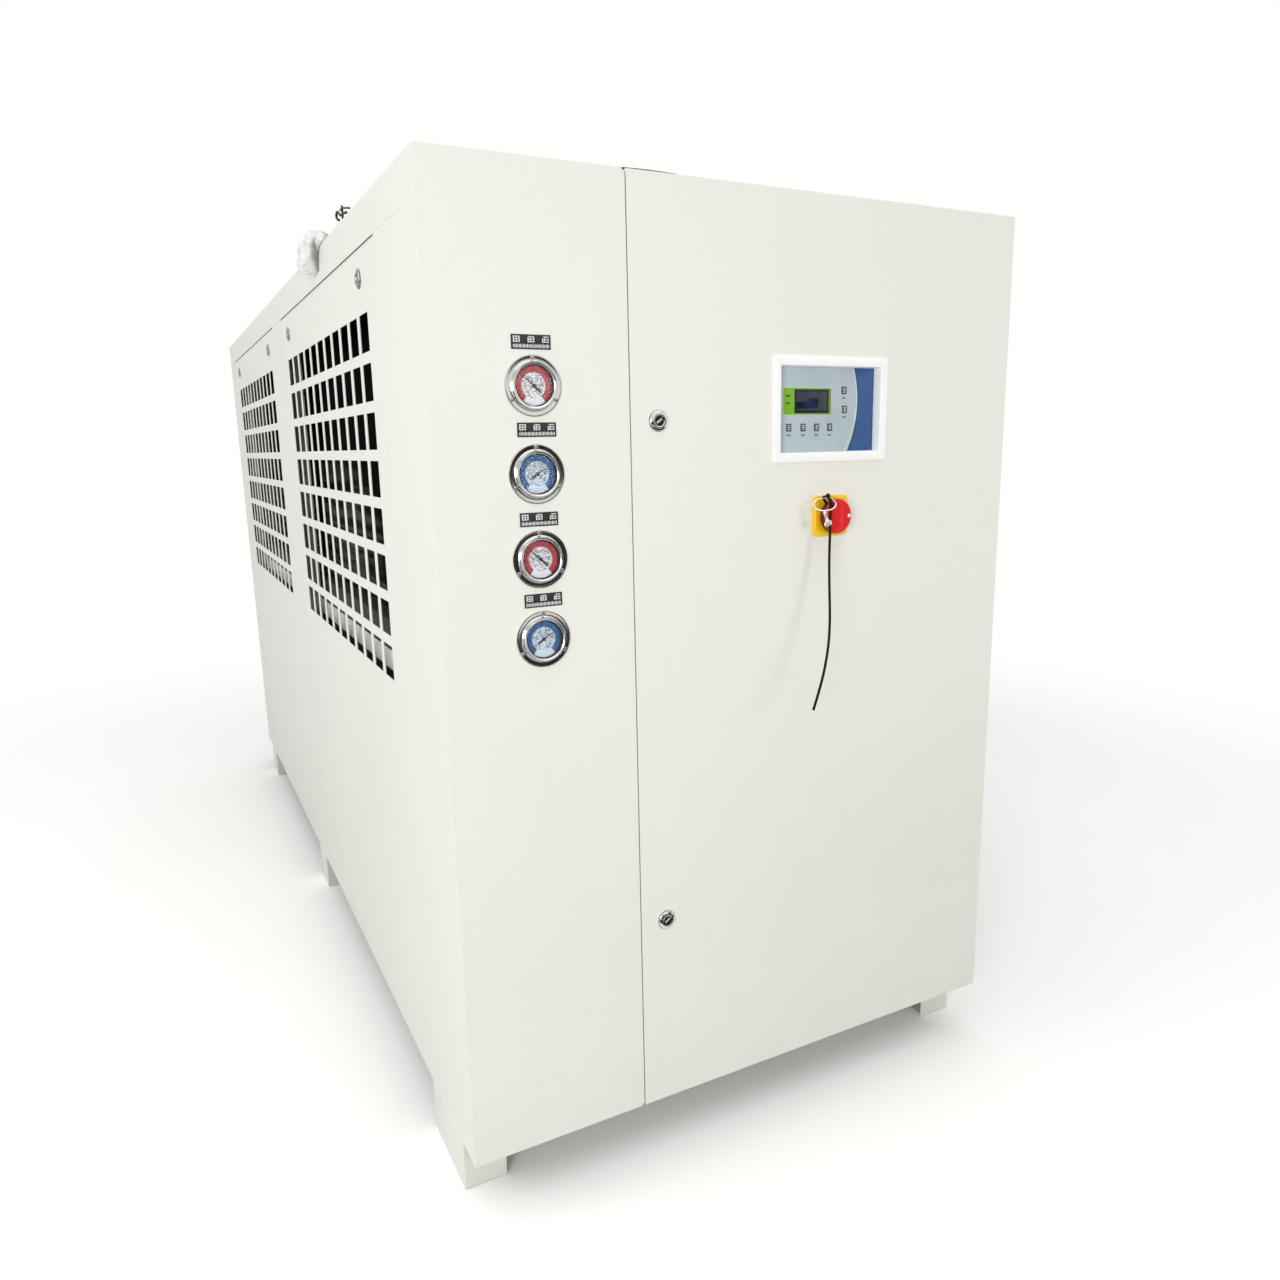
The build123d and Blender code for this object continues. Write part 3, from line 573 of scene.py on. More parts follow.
# %% Gauge cases, glasses and screws
GAUGE_X = LEFT + 0.1516
GAUGE_Z = [TOP - 0.2996 - drop for drop in (0, 0.1222, 0.244, 0.3622)]
GAUGES = [(GAUGE_X, FRONT, z) for z in GAUGE_Z]
CASE_PROFILE = mm([
    (42.5, 0), (42.5, 1.4), (42.2, 2.2), (41.5, 2.5), (40.4, 2.4), (35.6, 1.7), (34.4, 1.8), (33.5, 2.4),
    (33, 3.6), (33, 8.2), (32.7, 9.2), (32.0, 9.9), (31.4, 9.9), (29.4, 8.7), (28.8, 8.1), (28.6, 7.4),
    (28.6, 1.2),
])
PANE_PROFILE = mm([(27.8, 5.9), (27.8, 6.6), (20, 7.1), (10, 7.4), (1, 7.5)])
SEAL_PROFILE = mm([(28.55, 1.2), (28.55, 7.5), (28.1, 7.7), (27.7, 7.3), (27.9, 5.9), (28.2, 5.6),
                   (28.2, 1.2)])
SCREW_CIRCLE, FLANGE_FACE = 38.3 * MM, 1.9 * MM


def screw(radius, height, facing="front"):
    """Pan head with a small socket: a turned profile of six rows, twelve steps round."""
    r, h = radius, height
    profile = [(r, 0), (r, 0.45 * h), (0.8 * r, 0.9 * h), (0.45 * r, h), (0.4 * r, h), (0.36 * r, 0.5 * h)]
    return turned(profile, (0, 0, 0), facing, 12)


put("gauge_flanges", copies(turned(CASE_PROFILE, steps=64), GAUGES), CHROME,
    stands_for=["gauge_cases"])
put("gauge_panes", copies(turned(PANE_PROFILE), GAUGES), GLASS,
    stands_for=["gauge_glasses"])
put("gauge_seals", copies(turned(SEAL_PROFILE), GAUGES), SEAL_BLACK)
flange_screws = [
    (x + SCREW_CIRCLE * math.cos(turn), y - FLANGE_FACE, z + SCREW_CIRCLE * math.sin(turn))
    for x, y, z in GAUGES for turn in np.radians([90, 210, 330])
]
put("gauge_screws", copies(screw(3.1 * MM, 1.7 * MM), flange_screws), STEEL)
print("gauges", len(GAUGES), "screws", len(flange_screws))

# %% [markdown]
# ## Dials, numbers and pointers
# The coloured band runs round the dial and is open at the bottom. It is a pattern of radius and
# angle, so the dial gets a UV map whose middle is the pointer's axis, and the shader works the two
# out of it. The numbers are text turned into a mesh, because a number must stay sharp close up.

# %% Dial finish
BAND_HALF_ANGLE = math.radians(142)
BAND_MIDDLE, BAND_HALF = 0.80, 0.165
DIAL_TICKS = [(5.4, 0.09, 0.605, 0.025), (27, 0.035, 0.585, 0.05), (9, 0.14, 0.47, 0.030),
              (12, 0.14, 0.35, 0.028), (18, 0.14, 0.23, 0.026)]
BAND_TICKS = [(4.5, 0.10, 0.695, 0.022), (9, 0.10, 0.875, 0.030)]


def dial_finish(name, band, face, dark):
    """Band between two radii except for 38 degrees each side of the bottom, with fine rings and ticks;
    on the white face, more scales of short marks and a rash of print too small to read."""
    f = Finish(name)
    uv = f.node("ShaderNodeUVMap", {"uv_map": "dial"}, {})
    u, v = (f.node("ShaderNodeSeparateXYZ", {}, {0: uv}, k) - 0.5 for k in range(2))
    radius = (u * u + v * v).math("SQRT") * 2
    angle = u.math("ARCTAN2", v)
    inside = angle.math("ABSOLUTE") < BAND_HALF_ANGLE
    grain = f.noise(900, 2)
    mottle = f.noise(260, 2, seed=6.0)
    print_noise = f.noise(360, 1, seed=9.0)
    ring = radius.near(BAND_MIDDLE, BAND_HALF) * inside

    def marks(ticks):
        """Ticks so many degrees apart, each (step, width, middle, half); a width of 0.5 joins them."""
        rows = [((angle * (180 / math.pi / step)).math("PINGPONG", 0.5) > 0.5 - width)
                * radius.near(middle, half) * inside for step, width, middle, half in ticks]
        return sum(rows[1:], rows[0])

    rings = (radius.near(0.735, 0.010) + radius.near(0.83, 0.010)) * inside
    light = (marks(BAND_TICKS) + rings).at_most_one() * ring * 0.42
    ink = (marks(DIAL_TICKS) + (print_noise > 0.555) * (radius < 0.60)).at_most_one() * (1 - ring) * 0.80
    base = f.blend(grain.smooth(0.3, 0.7) * 0.3, face, darker(face, 0.78))
    base = f.blend(ring * (0.90 + grain * 0.15), base, f.blend(mottle.smooth(0.35, 0.7), band, dark))
    base = f.blend(light, base, tuple(min(1, c * 2.2 + 0.10) for c in band))
    base = f.blend(ink, base, (0.03, 0.03, 0.05))
    # Painted shade: a near-black ring at the dial's edge, under the bezel.
    base = f.blend((radius > 0.955) * 0.9, base, (0.018, 0.016, 0.018))
    return f.done(Base_Color=base, Roughness=grain * 0.2 + 0.42, Normal=f.bump(grain, 0.00002, 0.5),
                  Specular_IOR_Level=0.3)


# %% Dials
DIAL_WIDTH = 57 * MM


def dial(x, z, material, name):
    """A disc of nine rings of points; the map gives 0.5 + (offset / diameter)."""
    profile = mm([(28.4, 1.3)] + [(r, 2) for r in (28.4, 26, 22, 18, 14, 10, 5, 1)])
    piece = put(name, turned(profile, (x, FRONT, z)), material, stands_for=["gauge_dials"],
                smooth=False)
    corners = np.empty(len(piece.data.loops), int)
    piece.data.loops.foreach_get("vertex_index", corners)
    places = points_of(piece.data)[corners]
    flat = (places[:, ::2] - (x, z)) / DIAL_WIDTH + 0.5
    piece.data.uv_layers.new(name="dial").data.foreach_set("uv", flat.ravel())


RED_DIAL = dial_finish("red_dial", (0.40, 0.030, 0.040), (0.75, 0.75, 0.79), (0.22, 0.018, 0.026))
BLUE_DIAL = dial_finish("blue_dial", (0.016, 0.105, 0.27), (0.61, 0.71, 0.80), (0.010, 0.050, 0.135))
for k, z in enumerate(GAUGE_Z):
    dial(GAUGE_X, z, (RED_DIAL, BLUE_DIAL)[k % 2], f"gauge_dial_{k + 1}")
print("dials", len(GAUGE_Z))

# %% Numbers and pointers
NUMBER_SIZE, NUMBER_CIRCLE, NUMBER_FACE = 5.2 * MM, 12.8 * MM, 2.1 * MM
FIRST_NUMBER, NUMBER_STEP = -135, 54


def numeral(text, turn, centre):
    """Text made a mesh, at a turn from the top of a dial: the text's x and y become the part's x and z."""
    curve = bpy.data.curves.new("numeral", "FONT")
    curve.body, curve.size, curve.extrude, curve.resolution_u = text, NUMBER_SIZE, 0.05 * MM, 2
    curve.align_x, curve.align_y = "CENTER", "CENTER"
    flat, faces = as_part(curve)
    x, z = centre[0] + NUMBER_CIRCLE * math.sin(turn), centre[1] + NUMBER_CIRCLE * math.cos(turn)
    return np.c_[flat[:, 0] + x, -flat[:, 2] + FRONT - NUMBER_FACE, flat[:, 1] + z], faces


def flat_outline(outline, out_low, out_high, centre, lean=0.0):
    """A flat outline of (x, z) points, leant to the left, between two distances from the front."""
    x, z = np.asarray(outline, float).T
    a = math.radians(lean)
    across, up = x * math.cos(a) - z * math.sin(a), x * math.sin(a) + z * math.cos(a)
    rows = [np.c_[across + centre[0], 0 * x + FRONT - out, up + centre[1]] for out in (out_low, out_high)]
    return grid(np.stack(rows), close_cols=True, caps=True)


scale_parts = [
    numeral(str(5 * k), math.radians(FIRST_NUMBER + NUMBER_STEP * k), (GAUGE_X, z))
    for z in GAUGE_Z for k in range(6)
]
put("dial_numbers", join(scale_parts), POINTER_BLACK, smooth=False)
HALF_POINTER = [(0.9, -13), (1.5, -6), (1.0, 0), (0.7, 6), (0.25, 20)]
POINTER = mm([(-0.9, -13)] + HALF_POINTER + [(-x, z) for x, z in HALF_POINTER[:0:-1]])
HUB_PROFILE = mm([(2.6, 2.1), (2.6, 4.0), (2.0, 4.6), (0.8, 4.8)])
pointer_parts = []
for k, z in enumerate(GAUGE_Z):
    length, lean = ((1.10, 48), (0.92, -58))[k % 2]
    pointer_parts.append(flat_outline(POINTER * length, 3.2 * MM, 3.7 * MM, (GAUGE_X, z), lean))
    pointer_parts.append(turned(HUB_PROFILE, (GAUGE_X, FRONT, z), "front", 24))
put("gauge_pointers", join(pointer_parts), POINTER_BLACK, stands_for=["gauge_needles"],
    smooth=False)
print("numbers", len(scale_parts))

# %% [markdown]
# ## Label plates
# Above each gauge sits a small dark engraved plate. Its face is generic: three light marks stand in
# the upper row and fine ticks in the lower one. Thin boxes a fifth of a millimetre high are enough,
# and one helper carries a rounded box to any place.

# %% Rounded boxes and label plates
AXES = ((1, 0, 0), (0, 1, 0), (0, 0, 1))


def block(centre, size, radius, axes=AXES, turns=3):
    """Rounded box: radius x unit sphere + (half size - radius) towards the octant of each point."""
    lon = (np.arange(4 * turns) + 0.5) * np.pi / (2 * turns)
    lat = (np.arange(2 * turns) + 0.5) / (2 * turns) * np.pi - np.pi / 2
    lat, lon = np.meshgrid(lat, lon, indexing="ij")
    ball = np.stack((np.cos(lat) * np.cos(lon), np.cos(lat) * np.sin(lon), np.sin(lat)), -1)
    reach = np.maximum(np.asarray(size, float) / 2 - radius, 0)
    local = radius * ball + reach * np.sign(ball)
    return grid(local @ np.asarray(axes, float) + np.asarray(centre), close_cols=True, caps=True)


def bar(x, z, width, height, out, thick=0.2):
    """A thin box that stands on the front at x, z; its sizes are in millimetres."""
    w, h = width / 2, height / 2
    outline = mm([(-w, -h), (w, -h), (w, h), (-w, h)])
    return flat_outline(outline, out * MM, (out + thick) * MM, (x, z))


PLATE_SHIFTS = mm([(-0.6, 59), (2.9, 62), (0.9, 57.6), (2.4, 57.8)])
LABELS = [(GAUGE_X + dx, z + dz) for z, (dx, dz) in zip(GAUGE_Z, PLATE_SHIFTS)]
plates = [block((x, FRONT - 0.5 * MM, z), mm((59, 1.1, 20)), 0.5 * MM) for x, z in LABELS]
put("label_blanks", join(plates), PLATE_GREY, stands_for=["label_plates"])


def plate_marks(x, z):
    """Three upper marks of two posts, three rungs and a stem, each a little lower, and 26 ticks."""
    parts = []
    for k, column in enumerate(mm([-21.5, 0, 21.5])):
        middle, row = x + column, z + 3.6 * MM
        posts = [middle + side * 4.2 * MM for side in (-1, 1)]
        parts += [bar(post, row - 0.8 * MM * k, 1.5, 8.2 - 1.2 * k, 1) for post in posts]
        parts += [bar(middle + 0.4 * MM * k, row + rung * 3.4 * MM, 7.8, 1.3, 1) for rung in (-1, 0, 1)]
        parts.append(bar(middle - 0.6 * MM * k, row + 0.4 * MM, 1.4, 6.8, 1))
    for k in range(26):
        height = 4.6 + 1.1 * math.sin(2.3 * k + 40 * z)
        parts.append(bar(x + (2.1 * k - 26.2) * MM, z - 5.6 * MM, 1.1, height, 1))
    return join(parts)


put("label_marks", join([plate_marks(x, z) for x, z in LABELS]), PLATE_MARK, smooth=False)
print("label plates", len(LABELS))

# %% [markdown]
# ## Quarter-turn locks
# Door and side panels close with the same lock: a plated ring on a thin rubber gasket, a sunk dark
# core, and a double-bit insert for the service key. Ring, gasket and core are profiles turned round
# the lock's axis; the insert is a rounded bar. One loop makes the door's pair and the panels' eight.

# %% Locks
RING_PROFILE = mm([(15.4, 0.8), (15.4, 1.7), (15.0, 2.3), (13.8, 2.9), (12.2, 3.7), (11.2, 4.1), (8.6, 4.2),
                   (7.8, 3.9), (7.5, 3.2), (7.4, 1.0)])
GASKET_PROFILE = mm([(16.0, 0), (16.0, 0.5), (15.6, 0.8), (9.0, 0.8)])
CORE_PROFILE = mm([(7.3, 0.9), (7.3, 2.4), (6.9, 2.6), (5.4, 2.6), (5.1, 1.6), (3.2, 1.6), (3.1, 3.2),
                   (2.6, 3.6), (0.6, 3.6)])
BIT_HEIGHT, BIT_SIZE = 3.1 * MM, mm((10.4, 2.2, 3.2))
DOOR_LOCKS = [(-0.189, FRONT, 1.246), (-0.188, FRONT, 0.430)]
SIDE_LOCKS = [(side * RIGHT, y, 1.485) for side in SIDES.values() for y in (-0.945, -0.135, 0.255, 1.065)]


def lock_facing(place):
    """Which way a lock looks, and its three axes: along the insert, outwards, and across it."""
    if place[1] == FRONT:
        return "front", ((0.82, 0, 0.57), (0, -1, 0), (-0.57, 0, 0.82))
    side = math.copysign(1, place[0])
    return "left" if side < 0 else "right", ((0, 0.82, 0.57), (side, 0, 0), (0, -0.57, 0.82))


def lock_turned(profile, places, steps=32):
    return join([turned(profile, place, lock_facing(place)[0], steps) for place in places])


def lock_bit(place):
    axes = lock_facing(place)[1]
    return block(np.asarray(place) + np.asarray(axes[1]) * BIT_HEIGHT, BIT_SIZE, 0.6 * MM, axes, 2)


# The side panels' lock rings take the darkened chrome, a painted dark reflection.
LOCK_GROUPS = (("door", "door", DOOR_LOCKS, CHROME), ("panel", "housing", SIDE_LOCKS, LOCK_CHROME_DARKENED))
for group, body, places, plating in LOCK_GROUPS:
    put(f"{group}_lock_rings", lock_turned(RING_PROFILE, places), plating, body, [f"{group}_locks"])
    put(f"{group}_lock_cores", lock_turned(CORE_PROFILE, places, 24), LOCK_DARK, body)
    put(f"{group}_lock_bits", join([lock_bit(place) for place in places]), KEY_STEEL, body)
    put(f"{group}_lock_gaskets", lock_turned(GASKET_PROFILE, places), SEAL_BLACK, body)
print("locks", len(DOOR_LOCKS), "+", len(SIDE_LOCKS))

# %% [markdown]
# ## Controller
# A white frame stands 4 mm proud of the door, and its keypad foil lies 13 mm deep. The frame is a
# profile carried round a rounded rectangle. The print on the foil follows places on the door, so
# its finish reads x and z: a green box, a deep blue field with a curved edge and a pale stripe.

# %% Controller frame
PAD = (LEFT + 0.6765, FRONT, BOTTOM + 1.1675)
PAD_WIDTH, PAD_HEIGHT, PAD_CORNER = 0.237, 0.170, 0.006
FRAME_PROFILE = mm([(0, 0), (0, 2.6), (0.4, 3.5), (1.4, 4), (14.4, 4), (15.6, 3.6), (16.3, 2.4),
                    (16.9, -12.6), (17.0, -13.2), (13.4, -13.2), (13.4, -0.2), (13, 0)])
pad_frame = framed(PAD_WIDTH, PAD_HEIGHT, PAD_CORNER, FRAME_PROFILE, PAD, ring=True)
put("controller_frame", pad_frame, WHITE_PLASTIC, "door", ["display_frame"])
print("controller middle", np.round(PAD, 4))


# %% Keypad foil
def circle_through(a, b, c):
    """Centre and radius of the circle through three points, from two equations in the centre."""
    a, b, c = (np.asarray(p, float) for p in (a, b, c))
    centre = np.linalg.solve(2 * np.array([b - a, c - a]), [b @ b - a @ a, c @ c - a @ a])
    return centre, float(np.linalg.norm(centre - a))


def keypad_print():
    """Print that follows x and z on the door, in millimetres from the front's lower left corner."""
    f = Finish("keypad_print")
    x, _, z = f.xyz()
    x, z = (x - LEFT) * 1000, (z - BOTTOM) * 1000
    grain = f.noise(1300, 2)
    cloud = f.noise(25, 3)

    def beyond(high, middle, low):
        """1 to the right of the arc through three points whose middle lies to the left."""
        (cx, cz), r = circle_through(high, middle, low)
        dx, dz = x - float(cx), z - float(cz)
        return (dx * dx + dz * dz).math("SQRT") > r

    def box(x0, x1, z0, z1):
        return (x > x0) * (x < x1) * (z > z0) * (z < z1)

    green = (z < 1150) * beyond((733, 1233), (741, 1181), (718, 1102))
    shade = (cloud.smooth(0.35, 0.75) * 0.5 + 0.5) * beyond((737, 1233), (745, 1181), (729, 1102))
    base = f.blend(cloud.smooth(0.3, 0.7), (0.445, 0.515, 0.565), (0.40, 0.475, 0.50))
    for mask, colour in (
        (box(588.5, 688, 1158.6, 1203.6), (0.42, 0.62, 0.30)),
        (box(590, 687, 1160, 1202), (0.14, 0.235, 0.075)),
        (box(590, 612.5, 1160, 1202), (0.155, 0.38, 0.012)),
        (beyond((732.5, 1233), (740.5, 1181), (717, 1102)), (0.60, 0.72, 0.80)),
        (green, (0.40, 0.62, 0.42)),
        (beyond((735, 1233), (743, 1181), (724, 1102)), (0.006, 0.045, 0.15)),
        (shade, (0.018, 0.095, 0.30)),
    ):
        base = f.blend(mask, base, colour)
    return f.done(Base_Color=base, Roughness=grain * 0.12 + 0.27, Normal=f.bump(grain, 0.00003, 0.5))


foil = block((PAD[0], FRONT + 14.5 * MM, PAD[2]), mm((203.6, 3, 136.2)), 0.4 * MM)
put("keypad_foil", foil, keypad_print(), "door", ["display_panel"])


# %% Screen, buttons and their marks
def screen_glass():
    """Dark glass with a faint blue glow in patches."""
    f = Finish("screen_glass")
    glow = f.noise(38, 3)
    base = f.blend(glow.smooth(0.35, 0.75), (0.006, 0.014, 0.018), (0.020, 0.026, 0.070))
    return f.done(Base_Color=base, Roughness=glow * 0.08 + 0.08)


def front_point(from_left, from_bottom):
    """A place on the front, from millimetres measured from its lower left corner."""
    return LEFT + from_left * MM, BOTTOM + from_bottom * MM


SCREEN_X, SCREEN_Z = front_point(646.5, 1181.5)
SIGN_DEPTH, MARK_DEPTH = -12.0, -12.95
put("controller_screen", block((SCREEN_X, FRONT + 12.7 * MM, SCREEN_Z), mm((63, 1.6, 31)), 0.4 * MM),
    screen_glass(), "door")
edge_at = (SCREEN_X + 0.6 * MM, FRONT + 13 * MM, SCREEN_Z - 0.4 * MM)
put("controller_screen_edge", block(edge_at, mm((69.5, 1.4, 37.5)), 0.4 * MM), LOCK_DARK, "door")
BUTTONS = [front_point(x, 1139) for x in (601, 630, 658, 685)]
BUTTONS += [front_point(714, 1199), front_point(716, 1168)]
key_parts = [block((x, FRONT + 12.8 * MM, z), mm((10.5, 1.6, 12.5)), 0.7 * MM) for x, z in BUTTONS]
put("keypad_keys", join(key_parts), KEY_MARK, "door")
sign_parts = [bar(x, z + dz * MM, 6.4, 0.7, SIGN_DEPTH) for x, z in BUTTONS for dz in (-3, 0, 3)]
sign_parts += [bar(x, z, 0.7, 8.2, SIGN_DEPTH) for x, z in BUTTONS]
put("keypad_signs", join(sign_parts), PLATE_MARK, "door", smooth=False)
under_parts = [bar(x + dx * MM, z - 12.5 * MM, 2.6, 2.6, MARK_DEPTH) for x, z in BUTTONS for dx in (-2, 2)]
under_parts += [bar(*front_point(599, z), 7.5, 3.0, MARK_DEPTH) for z in (1190, 1178)]
put("keypad_small_marks", join(under_parts), KEY_MARK, "door", smooth=False)
print("keys", len(BUTTONS))

# %% [markdown]
# ## Main switch
# A yellow plate carries a round red knob. The knob's face rises to a soft ridge that catches the
# light as an upright band, and a white dot near its rim shows the position. A turned disc gets the
# ridge added to its face, and a round cutter makes the padlock hole in the rim.

# %% Plate and knob
HUB = np.array((SWITCH[0], FRONT, SWITCH[1]))
RADIAL, OUTWARD = np.array((-0.585, 0, 0.811)), np.array((0.0, -1.0, 0.0))
PLATE_SIDE, PLATE_CORNER = 0.068, 0.009
PLATE_PROFILE = mm([(0, 0), (0, 6.2), (0.5, 7.3), (1.6, 8.0), (9, 8.0), (12, 7.4), (30, 7.4)])
FACE_HEIGHT = 25.2
KNOB_PROFILE = mm(
    [(17, 7), (17, 14), (27.6, 14), (28.6, 14.5), (29, 15.5), (29, 23.4), (28.6, 24.4), (27.8, 25.0)]
    + [(r, FACE_HEIGHT) for r in (26, 23, 19, 15, 11, 7, 3, 0.5)]
)
RIDGE_HEIGHT, RIDGE_X, RIDGE_WIDTH, RIDGE_REACH = mm([1.5, 2, 7.5, 27.5])
plate = framed(PLATE_SIDE, PLATE_SIDE, PLATE_CORNER, PLATE_PROFILE, HUB)
put("switch_base", plate, YELLOW_PLASTIC, "door", ["switch_plate"])
knob_points, knob_faces = turned(KNOB_PROFILE, HUB, "front", 64)
span = knob_points - HUB
on_face = np.clip((-span[:, 1] - 25.0 * MM) / (0.2 * MM), 0, 1)
fall = np.clip(1 - (np.hypot(span[:, 0], span[:, 2]) / RIDGE_REACH) ** 4, 0, 1)
knob_points[:, 1] -= on_face * fall * RIDGE_HEIGHT * np.exp(-(((span[:, 0] - RIDGE_X) / RIDGE_WIDTH) ** 2))


def handle_red():
    """Red plastic whose turned side, past the face's edge, is painted nearly black as shade."""
    f = Finish("red_plastic")
    x, _, z = f.xyz()
    across, up = x - float(HUB[0]), z - float(HUB[2])
    side = (across * across + up * up).math("SQRT").smooth(0.0281, 0.0287)
    fine, broad = f.noise(700, 2), f.noise(18, 3, seed=2.0)
    face = f.blend(broad.smooth(0.35, 0.75), (0.74, 0.014, 0.016), (0.66, 0.010, 0.012))
    # Painted shade: the turned side wall past the face's edge is nearly black.
    return f.done(Base_Color=f.blend(side, face, (0.035, 0.003, 0.003)), Roughness=broad * 0.12 + 0.22,
                  Normal=f.bump(fine, 0.00004, 0.5))


knob = put("switch_handle", (knob_points, knob_faces), handle_red(), "door", ["switch_knob"])


# %% Padlock hole and dot
def cut_hole(piece, cutter_part):
    """Takes a cutter's shape out of a piece and keeps the result as the piece's own mesh."""
    cutter = add_object("cutter", bpy.data.meshes.new("cutter"))
    cutter.data.from_pydata(cutter_part[0].tolist(), [], cutter_part[1])
    cut = piece.modifiers.new("cut", "BOOLEAN")
    cut.operation, cut.object, cut.solver = "DIFFERENCE", cutter, "EXACT"
    bpy.context.view_layer.update()
    done = bpy.data.meshes.new_from_object(piece.evaluated_get(bpy.context.evaluated_depsgraph_get()))
    piece.modifiers.remove(cut)
    piece.data = done
    bpy.data.objects.remove(cutter)


HOLE_RADIUS, HOLE_OUT = 3.4, 21 * MM
cut_hole(knob, turned(mm([(HOLE_RADIUS, 10), (HOLE_RADIUS, 30)]), HUB + RADIAL * HOLE_OUT, "front", 24))
dot_x, dot_z = front_point(699.8, 993)
dot_profile = mm([(3.1, 24.9), (3.1, 25.5), (2.7, 25.8), (0.5, 25.9)])
put("switch_dot", turned(dot_profile, (dot_x, FRONT, dot_z), "front", 24), WHITE_DOT, "door")
print("knob faces", len(knob.data.polygons))

# %% [markdown]
# ## Tie, ring and key
# The tie goes through the padlock hole and round the rim, and its head sits at the top. A wire ring
# hangs in the loop and carries a small socket key. The loop is the same flat strap as the tail, on
# a closed path whose corners are quarter circles.

# %% Tie loop and head
CORNER = 2.6 * MM
LOOP_LOW, LOOP_HIGH = mm((21, 13.3)), mm((41.3, 27.7))
arc = np.linspace(0, np.pi / 2, 6)
corner_list = []
for quarter, is_high in enumerate(((1, 1), (0, 1), (0, 0), (1, 0))):
    middle = np.where(is_high, LOOP_HIGH - CORNER, LOOP_LOW + CORNER)
    t = arc + quarter * np.pi / 2
    corner_list.append(middle + CORNER * np.c_[np.cos(t), np.sin(t)])
loop_flat = np.concatenate(corner_list)
loop_path = HUB + loop_flat[:, :1] * RADIAL + loop_flat[:, 1:] * OUTWARD
loop_normal = np.cross(RADIAL, OUTWARD)
loop = strap(loop_path, loop_normal, closed=True)
head_at = HUB + RADIAL * 42.7 * MM + OUTWARD * 29 * MM
head = block(head_at, mm((6.6, 6.2, 6.4)), 1.2 * MM, (RADIAL, OUTWARD, loop_normal))
put("tie_strap_and_head", join([loop, head]), NYLON, "door", ["tie_loop"])
print("loop points", len(loop_path))

# %% Key ring and socket key
RING_ACROSS, RING_UP = np.array((0.772, -0.635, 0)), np.array((0.544, 0.662, 0.515))
RING_RADIUS, WIRE_RADIUS = 18 * MM, 1.15 * MM
KEY_LEAN = math.radians(21)
ring_centre = HUB + RADIAL * 37.5 * MM + OUTWARD * 18 * MM - RING_UP * RING_RADIUS
ring_line = ring_path(ring_centre, RING_RADIUS, 64, RING_ACROSS, RING_UP)
ring_wire = tube(ring_line, WIRE_RADIUS, np.cross(RING_ACROSS, RING_UP), 8, closed=True)
put("key_ring_wire", ring_wire, KEY_STEEL, "door", ["key_ring"])
key_top = ring_centre - RING_UP * RING_RADIUS
SHANK_PROFILE = mm([(1.2, -1.2), (2.6, -1.6), (3.1, -3), (3.1, -5.5), (2.2, -7), (2.2, -14), (2.9, -16),
                    (3.2, -19.5), (1, -20)])
LOBE_PROFILE = mm([(3.6, -1.8), (4.2, -1.2), (4.2, 1.2), (3.6, 1.8), (2.2, 1.8), (1.9, 1.1), (0.4, 1.1)])
lobes = [turned(LOBE_PROFILE, key_top + mm((dx, 0, -22.8)), "front", 24) for dx in (-3.3, 3.3)]
wing = block(key_top + mm((0, 0, -21.6)), mm((12.5, 3.0, 5.2)), 1.2 * MM)
key_points, key_faces = join([turned(SHANK_PROFILE, key_top, "top", 24), wing, *lobes])
x, y, z = (key_points - key_top).T
leant = (x * math.cos(KEY_LEAN) - z * math.sin(KEY_LEAN), y, x * math.sin(KEY_LEAN) + z * math.cos(KEY_LEAN))
put("socket_key", (key_top + np.stack(leant, -1), key_faces), KEY_STEEL, "door", ["switch_keys"])
print("key top", np.round(key_top, 4))

# %% [markdown]
# ## Fans on the roof
# Only the tip of a black guard shows in the photograph, but fans of this kind are alike: a rolled
# inlet collar, and a domed guard of welded rings from whose middle the motor hangs. The collar is
# one turned section, and the rings are circles carried round the axis at the dome's height for their
# radius.

# %% Collars and guards
FANS = {"front": -0.540, "rear": 0.660}
COLLAR_PROFILE = mm([
    (472, 0), (472, 3), (458, 3), (454, 5), (453, 9), (453, 56), (455, 62), (459, 66), (462, 68), (462, 66.4),
    (459.5, 64.2), (456.5, 60.5), (455, 55), (450, 52), (450, 0),
])
DOME_R, DOME_H = mm([118, 200, 320, 400, 462, 468]), mm([151, 146, 128, 110, 86, 74])
BAR_REACH = mm([100, 118, 200, 320, 400, 452, 457.5, 457.5])
BAR_LIFT = mm([146.5, 146.5, 141.5, 123.5, 105.5, 84, 77, 69.5])
CAP_PROFILE = mm([(116, 148.5), (118, 150), (118, 152), (114, 153.6), (60, 153.6), (56, 152), (50, 152),
                  (46, 153.6), (2, 153.6)])


def guard_part(y):
    """Rings every 16 mm, six cranked bars under them, and a pressed plate in the middle."""
    centre = np.array((0, y, TOP))
    parts = []
    for radius in np.linspace(0.134, 0.468, 22):
        lift = float(np.interp(radius, DOME_R, DOME_H)) + 0.5 * MM
        parts.append(tube(ring_path(centre + (0, 0, lift), radius, 96), 2.1 * MM, (0, 0, 1), 6, closed=True))
    for a in ANGLES[6] + math.radians(30):
        path = centre + np.c_[BAR_REACH * math.cos(a), BAR_REACH * math.sin(a), BAR_LIFT]
        parts.append(tube(path, 3.4 * MM, (-math.sin(a), math.cos(a), 0), 8))
    parts.append(turned(CAP_PROFILE, centre, "top", 64))
    return join(parts)


def fan_part(kind, place, part, material):
    """Puts one piece of a fan in place of the CAD node of the same kind."""
    put(f"roof_fan_{kind}_{place}", part, material, stands_for=[f"fan_{kind}_{place}"])


for place, y in FANS.items():
    collar = turned(COLLAR_PROFILE, (0, y, TOP), "top", 96, ring=True)
    fan_part("collar", place, collar, BLACK_COAT)
    fan_part("guard", place, guard_part(y), BLACK_COAT)
print("guard height", round(float(DOME_H.max()) / MM), "mm above the roof")

